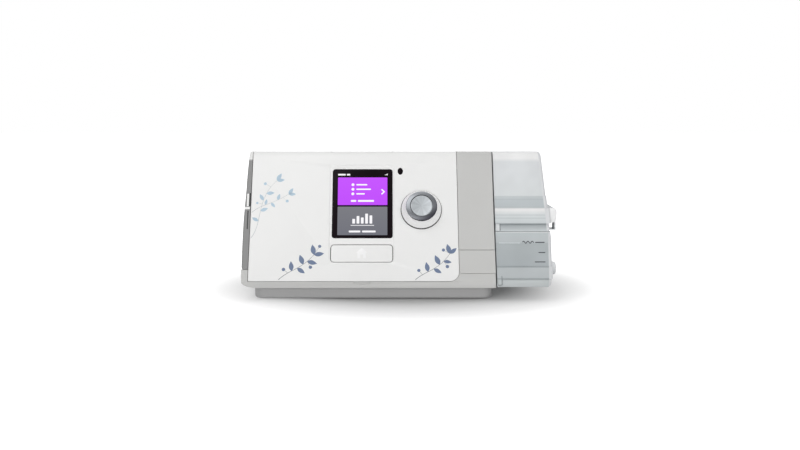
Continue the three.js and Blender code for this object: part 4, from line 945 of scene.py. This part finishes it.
def tub_base():
    top, w, tiny = TUB_SEAM - GAP, TUB_WALL, 0.02
    (x0, x1), (y0, y1), (z0, z1) = TONGUE["x"], TONGUE["y"], TONGUE["z"]
    base = tub_run("tub_base_shell", 0, TUB_BOTTOM, TUB_EDGE)
    boolean(base, [block("above", (LEFT, MACHINE_END + OVER), ALL_Y, (top, ABOVE))])
    boolean(base, [
        tub_band(SKIRT),
        grip("grip", SKIRT, MACHINE_END - 0.5),
        block("tongue", (x0, x1), (y0, y1), (z0, z1)),
        block("neck", (x1 - w, TUB_LEFT + w), (y0 + tiny, y1 - tiny), (z0 + tiny, top - tiny)),
    ], "UNION")
    frame_width = 4.7
    boolean(base, [
        tub_run("inside", w, TUB_BOTTOM + w, INNER_EDGE),
        block("tongue_inside", (x0 + w, x1 - w), (y0 + w, y1 - w), (z0 + w, z1 + OVER)),
        block("passage", (x1 - w - OVER, TUB_LEFT + w + OVER), (y0 + w + tiny, y1 - w - tiny),
              (z0 + w + tiny, top - w)),
        block("plate_window", (x0 + frame_width, x1 - frame_width), (y0 + frame_width, y1 - frame_width),
              (z0 - OVER, z0 + w + OVER)),
        *[rod("port", 6.4, (-OVER, OVER), along_x(x0, y, 60), 40) for y in (-17, 27)],
    ])
    bevel(base, 0.25, 2)
    dress(base, TUB, "tub", "clear_plastic", "tub_base")


def tub_ears():
    """The base's two hinge eyes at the ends of the lid's knuckle."""
    top, tiny = TUB_SEAM - GAP, 0.01
    for side, (left, right) in EARS.items():
        ear = block("tub_ear_" + side, (left, right), (REAR_WALL - 0.6, HINGE["y"]), (top - 4, top - GAP))
        boolean(ear, [hinge_rod("eye", HINGE["radius"], left + tiny, right - tiny)], "UNION")
        boolean(ear, [hinge_rod("bore", HINGE["bore"], left - OVER, right + OVER)])
        dress(ear, TUB, "tub", "clear_plastic")


def tub_boss():
    """The round stop at the right end of the base's band."""
    radius, z = BOSS["radius"], BOSS["z"]
    dome = [(0, 0), (radius, 0), (radius, 2.6)] + fillet(radius - 1.6, 2.6, 1.6, 0, 90, 6)
    dome += [(3.2, 4.2), (2.6, 3.5), (0, 3.5)]
    piece = turned("tub_stop", dome, along_x(side_of_tub(z) - 0.9, BOSS["y"], z), 48)
    dress(piece, TUB, "tub", "clear_plastic")


def tub_runners():
    """Small guide blocks on the tub's left front edge, which ride in the housing's groove."""
    for name, low, high in (("low", -3.2, 4.4), ("high", 42.2, 48.4)):
        glass = plate("tub_guide_" + name, round_rect(78.4, 81.3, low, high, 0.7, 4), -0.6, 1.0, 0.35)
        dress(glass, TUB, "tub", "clear_plastic")
        # Each guide's edge is a grey strip painted as the shade along that edge
        loop = round_rect(81.0, 81.9, low + 0.3, high - 0.3, 0.3, 3)
        edge = plate("tub_guide_edge_" + name, loop, -0.6, 0.8, 0.2)
        dress(edge, PAINTED_EDGE_SHADE, "tub", "clear_plastic")


# The rear: panel, filter door and air outlet

FILTER = dict(x=(-106, -66), z=(68, 98), frame=2, depth=7.3, bar=0.9)
INLET = dict(x=(8, 38), z=(24, 42))
LUG = dict(y=REAR_WALL + 3.4, z=INLET["z"][1] + 5, radius=2.6, bore=1.3, width=3)


def rear_panel():
    shell = run_x("rear_shell", ends(COVER_LEFT, COVER_RIGHT, 0.8, 0.5), COVER_FOOT)
    front = block("front", (LEFT, RIGHT), (ALL_Y[0], REAR_WALL - REAR_DEPTH), (0, ABOVE))
    boolean(shell, [cover_hollow(), front])
    (x0, x1), (z0, z1), f = FILTER["x"], FILTER["z"], FILTER["frame"]
    back = REAR_WALL - FILTER["depth"] - f
    outside = REAR_WALL - WALL / 2
    boolean(shell, [block("frame", (x0 - f, x1 + f), (back, outside), (z0 - f, z1 + f))], "UNION")
    (left, right), (low, high) = INLET["x"], INLET["z"]
    socket = round_rect(left - GAP, right + GAP, low - GAP, high + GAP, 0.1)
    boolean(shell, [block("window", (x0, x1), ALL_Y, (z0, z1)), prism_y("socket_hole", socket, ALL_Y)])
    half = FILTER["bar"]
    parts = [block("bar", (x0 - 1, x1 + 1), (back, back + f), (z - half, z + half))
             for z in (z0 + (z1 - z0) * k / 5 for k in range(1, 5))]
    parts += [block("bar", (x - half, x + half), (back, back + f), (z0 - 1, z1 + 1))
              for x in (x0 + (x1 - x0) * k / 4 for k in range(1, 4))]
    y, z, r = LUG["y"], LUG["z"], LUG["radius"]
    for x in (left + 4, right - 7):
        end = x + LUG["width"]
        arm = block("arm", (x, end), (outside, y), (z - r, z + r))
        boolean(arm, [rod("eye", r, (x, end), along_x(0, y, z), 40)], "UNION")
        parts.append(boolean(arm, [rod("hole", LUG["bore"], (x - 1, end + 1), along_x(0, y, z), 24)]))
    boolean(shell, parts, "UNION")
    bevel(shell, 0.25, 2)
    dress(shell, LIGHT, "machine", "light_grey_plastic", "rear_panel")


def filter_door():
    (x0, x1), (z0, z1), edge = FILTER["x"], FILTER["z"], 3
    y0 = REAR_WALL + GAP
    loop = round_rect(x0 - edge, x1 + edge, z0 - edge, z1 + edge, 2.4)
    levels = [(0, 0), (1.3, 0), (1.85, 0.2), (2.1, 0.6), (2.2, 1.1)]
    loops = [[(x, y0 + out, z) for x, z in grown(loop, -inset)] for out, inset in levels]
    door = loft("filter_door_skin", loops)
    slots = []
    for k in range(4):
        z = z0 + (z1 - z0) / 4 * (k + 0.5)
        slot = round_rect(x0 + 6, x1 - 6, z - 1.5, z + 1.5, 1.4, 6)
        slots.append(loft("slot", [[(a, y0 + d, b + d / 2) for a, b in slot] for d in (-1, 4)]))
    boolean(door, slots)
    bevel(door, 0.2, 2)
    dress(door, LIGHT, "filter_door", "light_grey_plastic", "filter_cover")


def air_outlet():
    r, bore, start, (low, high) = OUTLET["radius"], OUTLET["bore"], -OUTLET["length"], OUTLET["collar"]
    wide = r + OUTLET["proud"]
    profile = [(bore, start), (r, start), (r, low), (wide, low), (wide, high), (r, high), (r, -1.5)]
    profile += fillet(r - 0.7, -0.7, 0.7, 0, 90) + fillet(bore + 0.4, -0.4, 0.4, 90, 180, 4)
    tube = turned("outlet_tube", profile, outlet_place(DEPTH / 2))
    dress(tube, WHITE, "machine", "white_plastic", "air_outlet")


# What the display shows: two generic tiles, a heading bar and small symbols

FILM = 0.03
TILES = dict(x=(-50.6, -9.9), top=(64.8, 89.0), low=(38.9, 63.4))
TILE_TINTS = (("top", "violet", "c04cfb", "c754ff", (0.075, 0.1)),
              ("low", "slate", "70717a", "7a7b81", (0.05, 0.075)))
# Bars as (left, right, low, high, corner), counted sideways from the middle of the tiles
STRIPS = [(-9.6, -5.2, 67.6, 69.2, 0.5), (-3.8, 9.4, 67.6, 69.2, 0.5), (-9.6, 9.6, 47.0, 47.5, 0.2),
          (-11, -1.6, 41.2, 42.8, 0.5), (-0.2, 10.8, 41.2, 42.8, 0.5)]
ARROW = [(-15.1, 78.2), (-14.3, 78.9), (-11.7, 76.4), (-14.3, 73.9), (-15.1, 74.6), (-13.2, 76.4)]


def on_face(name, loops, material, height, body="machine", slot="black_glass"):
    """Thin lit or printed patches, each a loop of (x, up), lying at a height on the leaning face."""
    bm = bmesh.new()
    for loop in loops:
        skin(bm, [raised(loop, height - FILM), raised(loop, height)], FACE)
    dress(link(name, bm), material, body, slot)


def bar(x0, x1, y0, y1, radius):
    return round_rect(x0, x1, y0, y1, radius, 4)


def screen_contents():
    x0, x1 = TILES["x"]
    middle, pane = (x0 + x1) / 2, -RECESS["depth"]
    for place, tone, low, high, span in TILE_TINTS:
        lit = glowing("tile_" + tone, low, high, span)
        on_face("screen_tile_" + place, [bar(x0, x1, *TILES[place], 0.5)], lit, pane + 0.04)
    marks = [ARROW, bar(x0, x0 + 6.2, 90.8, 92.2, 0.3), bar(x0 + 7.2, x0 + 10.0, 90.8, 92.2, 0.3)]
    marks += [bar(-12 + k * 0.9, -11.4 + k * 0.9, 91.0, 91.5 + 0.4 * k, 0.1) for k in range(3)]
    for k, length in enumerate((9.0, 12.0, 7.0)):
        left, y = middle - 5.2, 82.6 - 4.0 * k
        marks += [circle(middle - 8.0, y, 1.2, 20), bar(left, left + length, y - 0.6, y + 0.6, 0.5)]
    for k, tall in enumerate((4.0, 6.5, 5.2, 8.5, 7.0)):
        left = middle - 8.2 + k * 3.5
        marks.append(bar(left, left + 2.2, 48.8, 48.8 + tall, 0.4))
    marks += [bar(middle + a, middle + b, low, high, radius) for a, b, low, high, radius in STRIPS]
    on_face("screen_marks", marks, glowing("symbol_white", "f4f0f8", "ffffff"), pane + 0.08)


# Printed decoration: sprigs of oval leaves and berries, drawn for this model

def bend(*corners, steps=18):
    """Points along a cubic curve from its four corners."""
    points = []
    for k in range(steps + 1):
        t = k / steps
        shares = ((1 - t) ** 3, 3 * t * (1 - t) ** 2, 3 * t * t * (1 - t), t ** 3)
        points.append(tuple(sum(s * p[i] for s, p in zip(shares, corners)) for i in (0, 1)))
    return points


def stalk(points, wide, thin):
    """A strip along points that tapers from wide to thin."""
    left, right = [], []
    for k, (x, y) in enumerate(points):
        ahead, behind = points[min(k + 1, len(points) - 1)], points[max(k - 1, 0)]
        half = (wide + (thin - wide) * k / (len(points) - 1)) / 2 / dist(ahead, behind)
        nx, ny = (behind[1] - ahead[1]) * half, (ahead[0] - behind[0]) * half
        left.append((x + nx, y + ny))
        right.append((x - nx, y - ny))
    return left + right[::-1]


def leaf(x, y, degrees, length, steps=9):
    """A pointed oval that starts at (x, y)."""
    a, half = radians(degrees), length * 0.23
    side = [(length * t, half * sin(pi * t ** 0.85)) for t in (k / steps for k in range(steps + 1))]
    outline = side + [(u, -v) for u, v in side[-2:0:-1]]
    return [(x + u * cos(a) - v * sin(a), y + u * sin(a) + v * cos(a)) for u, v in outline]


def sprig(points, leaves, berries, size):
    """Stem strips, leaf loops and berry loops; leaves and berries name the point they grow from."""
    blades = [leaf(*points[index], degrees, length) for index, degrees, length in leaves]
    stems, fruit = [stalk(points, 0.5 * size, 0.28 * size)], []
    for index, degrees, reach, radius in berries:
        (x, y), a = points[index], radians(degrees)
        end = (x + reach * cos(a), y + reach * sin(a))
        stems.append(stalk([(x, y), end], 0.26 * size, 0.2 * size))
        fruit.append(circle(*end, radius, 18))
    return stems, blades, fruit


# Each sprig's curve, its leaves by point, direction and length, and its berries by point, direction, reach
# and radius
SPRIGS = {
    "tall": (((-120.6, 36), (-111, 48), (-118, 70), (-101, 86)),
             [(6, 150, 6), (9, 20, 6.4), (12, 120, 6.2), (14, 5, 6.6), (18, 60, 7.2), (18, 5, 6.4)],
             [(16, 150, 5.4, 1.25), (11, 170, 4.2, 1.0)]),
    "side": (((-120.8, 58), (-112, 66), (-106, 64), (-91, 74)),
             [(8, 80, 5.0), (11, -50, 5.2), (14, 75, 5.6), (18, 55, 6.4), (18, 0, 6.0)],
             [(16, -40, 4.8, 1.2)]),
    "low_left": (((-97, 1.2), (-88, 10), (-80, 9), (-69, 22)),
                 [(7, 95, 8.2), (10, -35, 7.6), (13, 110, 8.6), (15, -15, 8.2), (18, 100, 8.8),
                  (18, 8, 8.2)],
                 [(5, 140, 4.6, 1.4), (15, -62, 5.6, 1.4), (18, 58, 8.4, 1.3)]),
    "low_right": (((12.5, 1.2), (21, 9), (30, 8), (40.5, 23)),
                  [(7, 100, 8.2), (10, -30, 7.2), (13, 115, 8.8), (15, -10, 6.4), (18, 105, 8.4),
                   (18, 40, 7.2)],
                  [(4, 130, 4.6, 1.3), (15, -58, 5.4, 1.4), (18, 150, 6.0, 1.3)]),
}


def sprigs():
    """The low sprigs are darker and a little stronger than the others."""
    strong = (printed("ink_slate_blue", "6c7c99"), printed("ink_stem_grey", "8f9396"), 1.0)
    faint = (printed("ink_pale_blue", "b7cddd"), printed("ink_faint_grey", "c3c8ca"), 0.8)
    for name, (curve, leaves, berries) in SPRIGS.items():
        ink, line, size = strong if name.startswith("low") else faint
        stems, blades, fruit = sprig(bend(*curve), leaves, berries, size)
        for kind, loops, color, height in (("stems", stems, line, 0.04), ("leaves", blades, ink, 0.05),
                                           ("berries", fruit, ink, 0.06)):
            on_face(f"sprig_{kind}_{name}", loops, color, height, slot="white_plastic")


def home_symbol():
    """A plain little house, hardly whiter than the button under it."""
    cx, low = (HOME["left"] + HOME["right"]) / 2, 19.2
    half = [(4.6, 4.6), (3.4, 4.6), (3.4, 0), (1.2, 0), (1.2, 3.2)]
    house = [(cx - x, low + y) for x, y in half] + [(cx + x, low + y) for x, y in half[::-1]]
    on_face("home_symbol", [house + [(cx, low + 9.0)]], printed("symbol_ink", "ffffff", 0.5),
            HOME["rim"] - RECESS["depth"] + 0.03, "home_key", "white_plastic")


def side_trims():
    """Marks on the narrow front edge of the left side: dark strips painted as the shadow in the flaps' front
    gaps, a white strip painted as the highlight on the upper flap's edge, and a small white clip.
    """
    dark = printed("slot_shadow", "2b2b2c", 0.6)
    # Painted shadow in the gaps at the flaps' front edges
    on_face("side_slot", [bar(-123.2, -121.9, 63.4, 75.0, 0.2)], dark, 0.02, slot="mid_grey_plastic")
    on_face("side_seam", [bar(-124.2, -123.3, 43.8, 59.6, 0.2)], dark, 0.02, slot="mid_grey_plastic")
    # A white strip painted as the highlight along the upper flap's front edge
    on_face("side_latch", [bar(-125.0, -123.3, 63.4, 74.4, 0.4)], WHITE, 0.25, slot="light_grey_plastic")
    on_face("side_clip", [bar(-126.9, -122.2, 60.6, 62.8, 0.6)], WHITE, 0.5, slot="light_grey_plastic")


def tub_marks():
    """Level marks on the tub: a wavy line at the top level and plain bars."""
    wave = [(99.4 + 0.5 * k, 32.6 + 0.9 * sin(k * 0.9)) for k in range(19)]
    bars = [(109.6, 117.2, 32.0, 32.9), (111.9, 117.4, 23.5, 24.3), (108.6, 117.2, 15.6, 16.4)]
    on_face("tub_level_marks", [stalk(wave, 0.75, 0.75), *[bar(*span, 0.3) for span in bars]],
            INK_GREY, 0.12, "tub", "clear_plastic")
    line = printed("moulded_line", "dfe5e8", 0.3)
    on_face("tub_level_line", [bar(80.2, 97.4, 31.7, 32.2, 0.2)], line, 0.10, "tub", "clear_plastic")


# The camera, the light and the floor

# The photo's width, its focal length and where its axis meets it, in pixels
PHOTO = dict(width=800, focal=990, axis=386)
# Each lamp's name, place, aim, size and power
LAMPS = [("key", (-0.55, -0.75, 1.15), (0, 0, 0.05), (0.9, 0.9), 3.4),
         ("fill", (0.95, -0.9, 0.75), (0.02, 0, 0.06), (0.8, 0.8), 2.0),
         ("back", (0.1, 1.1, 0.9), (0, 0, 0.06), (1.2, 0.6), 1.5),
         ("front", (-0.1, -1.4, 0.25), (0, 0, 0.05), (1.6, 0.4), 5.2),
         ("crown", (0, 0.1, 1.3), (0, 0, 0.05), (0.9, 0.6), 0.9)]
WORLD_LEVEL = 0.42
# The floor's painted shadow: its middle in X, its half sizes, where it fades, and the least lift to white
# within it
SHADE = dict(x=0.006, half_x=0.168, half_y=0.15, fade=(0.52, 1.28), core=0.08)


def build_camera():
    data = bpy.data.cameras.new("photo_camera")
    data.sensor_width = 36
    data.lens = 36 * PHOTO["focal"] / PHOTO["width"]
    data.shift_x = (PHOTO["width"] / 2 - PHOTO["axis"]) / PHOTO["width"]
    camera = new_object("photo_camera", data)
    camera.location = Vector((-11.0, -855.0, 150.8)) * MM
    camera.rotation_euler = (radians(90 - 6.52), 0, 0)
    bpy.context.scene.camera = camera


def build_lamps():
    for name, place, aim, size, power in LAMPS:
        data = bpy.data.lights.new(name, "AREA")
        data.shape = "RECTANGLE"
        data.size, data.size_y = size
        data.energy = power
        lamp = new_object(name, data)
        lamp.location = place
        lamp.rotation_euler = (Vector(aim) - Vector(place)).to_track_quat("-Z", "Y").to_euler()


def seen_directly(node):
    """One on camera, glossy and transmission rays, so that all of them meet the pale background."""
    path = beside(node, "LightPath")
    total = path.outputs["Is Camera Ray"]
    for other in ("Is Glossy Ray", "Is Transmission Ray"):
        total = add("Math", total, path.outputs[other], operation="MAXIMUM")
    return total


def build_world():
    world = bpy.data.worlds.new("studio")
    bpy.context.scene.world = world
    world.use_nodes = True
    background = world.node_tree.nodes["Background"]
    level = ranged(seen_directly(background), WORLD_LEVEL, 1.0, 0.0, 1.0)
    fill(background, Color=(1, 1, 1, 1), Strength=level)


def build_floor():
    """Pale paper with a painted shadow: a little darker, and lifted less to white, in an oval under the
    machine.
    """
    bm = bmesh.new()
    bmesh.ops.create_grid(bm, x_segments=1, y_segments=1, size=6)
    floor = link("floor", bm)
    floor.location.z = -0.0002
    material, main, place = shader("floor_paper", (0.71, 0.71, 0.71, 1), 0.9, Specular_IOR_Level=0.1)
    half_x, half_y = SHADE["half_x"], SHADE["half_y"]
    oval = add("Mapping", place, Scale=(1 / half_x, 1 / half_y, 0), Location=(-SHADE["x"] / half_x, 0, 0))
    distance = add("VectorMath", oval, output="Value", operation="LENGTH")
    # Painted shadow: the paper is darker near the machine and lifted less to white there
    painted_shadow_tone = mixed(ranged(noise(place, 30)), (0.54, 0.54, 0.54, 1), (0.56, 0.56, 0.56, 1))
    far = ranged(distance, 0.0, 1.0, 0.9, 1.5)
    lift = ranged(distance, SHADE["core"], 1.0, *SHADE["fade"])
    fill(main, Base_Color=mixed(far, painted_shadow_tone, (0.9, 0.9, 0.9, 1)), Emission_Color=(1, 1, 1, 1),
         Emission_Strength=add("Math", lift, seen_directly(main), operation="MULTIPLY"))
    floor.data.materials.append(material)


bpy.context.scene.view_settings.view_transform = "Standard"
for build in (build_camera, build_world, build_floor, build_lamps,
              cover_shell, housing_shell, label_plate, side_panel, flaps,
              screen_window, screen_contents, sprigs, home_key, home_symbol, side_trims,
              sensor_window, start_key, dial, pedestal, feet,
              tub_lid, tub_tab, tub_base, tub_ears, tub_boss, tub_runners, tub_marks,
              rear_panel, filter_door, air_outlet):
    build()

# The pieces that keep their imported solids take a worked-out material, by the start of their name
KEPT = {
    SHEET_METAL: ("case_screw", "encoder_shaft", "sd_socket", "blower_motor", "motor_shaft", "heater_plate",
                  "tub_heat_plate", "tub_hinge_pin"),
    BLACK_PLASTIC: ("display_module", "home_switch", "start_switch", "encoder_sleeve", "encoder_body",
                    "sd_card", "adapter_connector", "power_socket", "impeller"),
    CREAM: ("blower_housing", "blower_cap", "inlet_muffler", "heater_insulator"),
    RUBBER: ("blower_mount", "supply_duct", "return_duct"),
    BOARD: ("ui_board", "main_board", "side_board"),
    LIGHT: ("plug_retainer", "humidifier_bay"),
    FLEECE: ("air_filter",),
    TUB: ("tub_deck",),
    SEAL: ("tub_seal",),
}

for material, starts in KEPT.items():
    for obj in bpy.data.objects:
        if obj.type == "MESH" and obj.name.startswith(starts) and obj.name in frame["nodes"]:
            for slot in obj.material_slots:
                slot.material = material
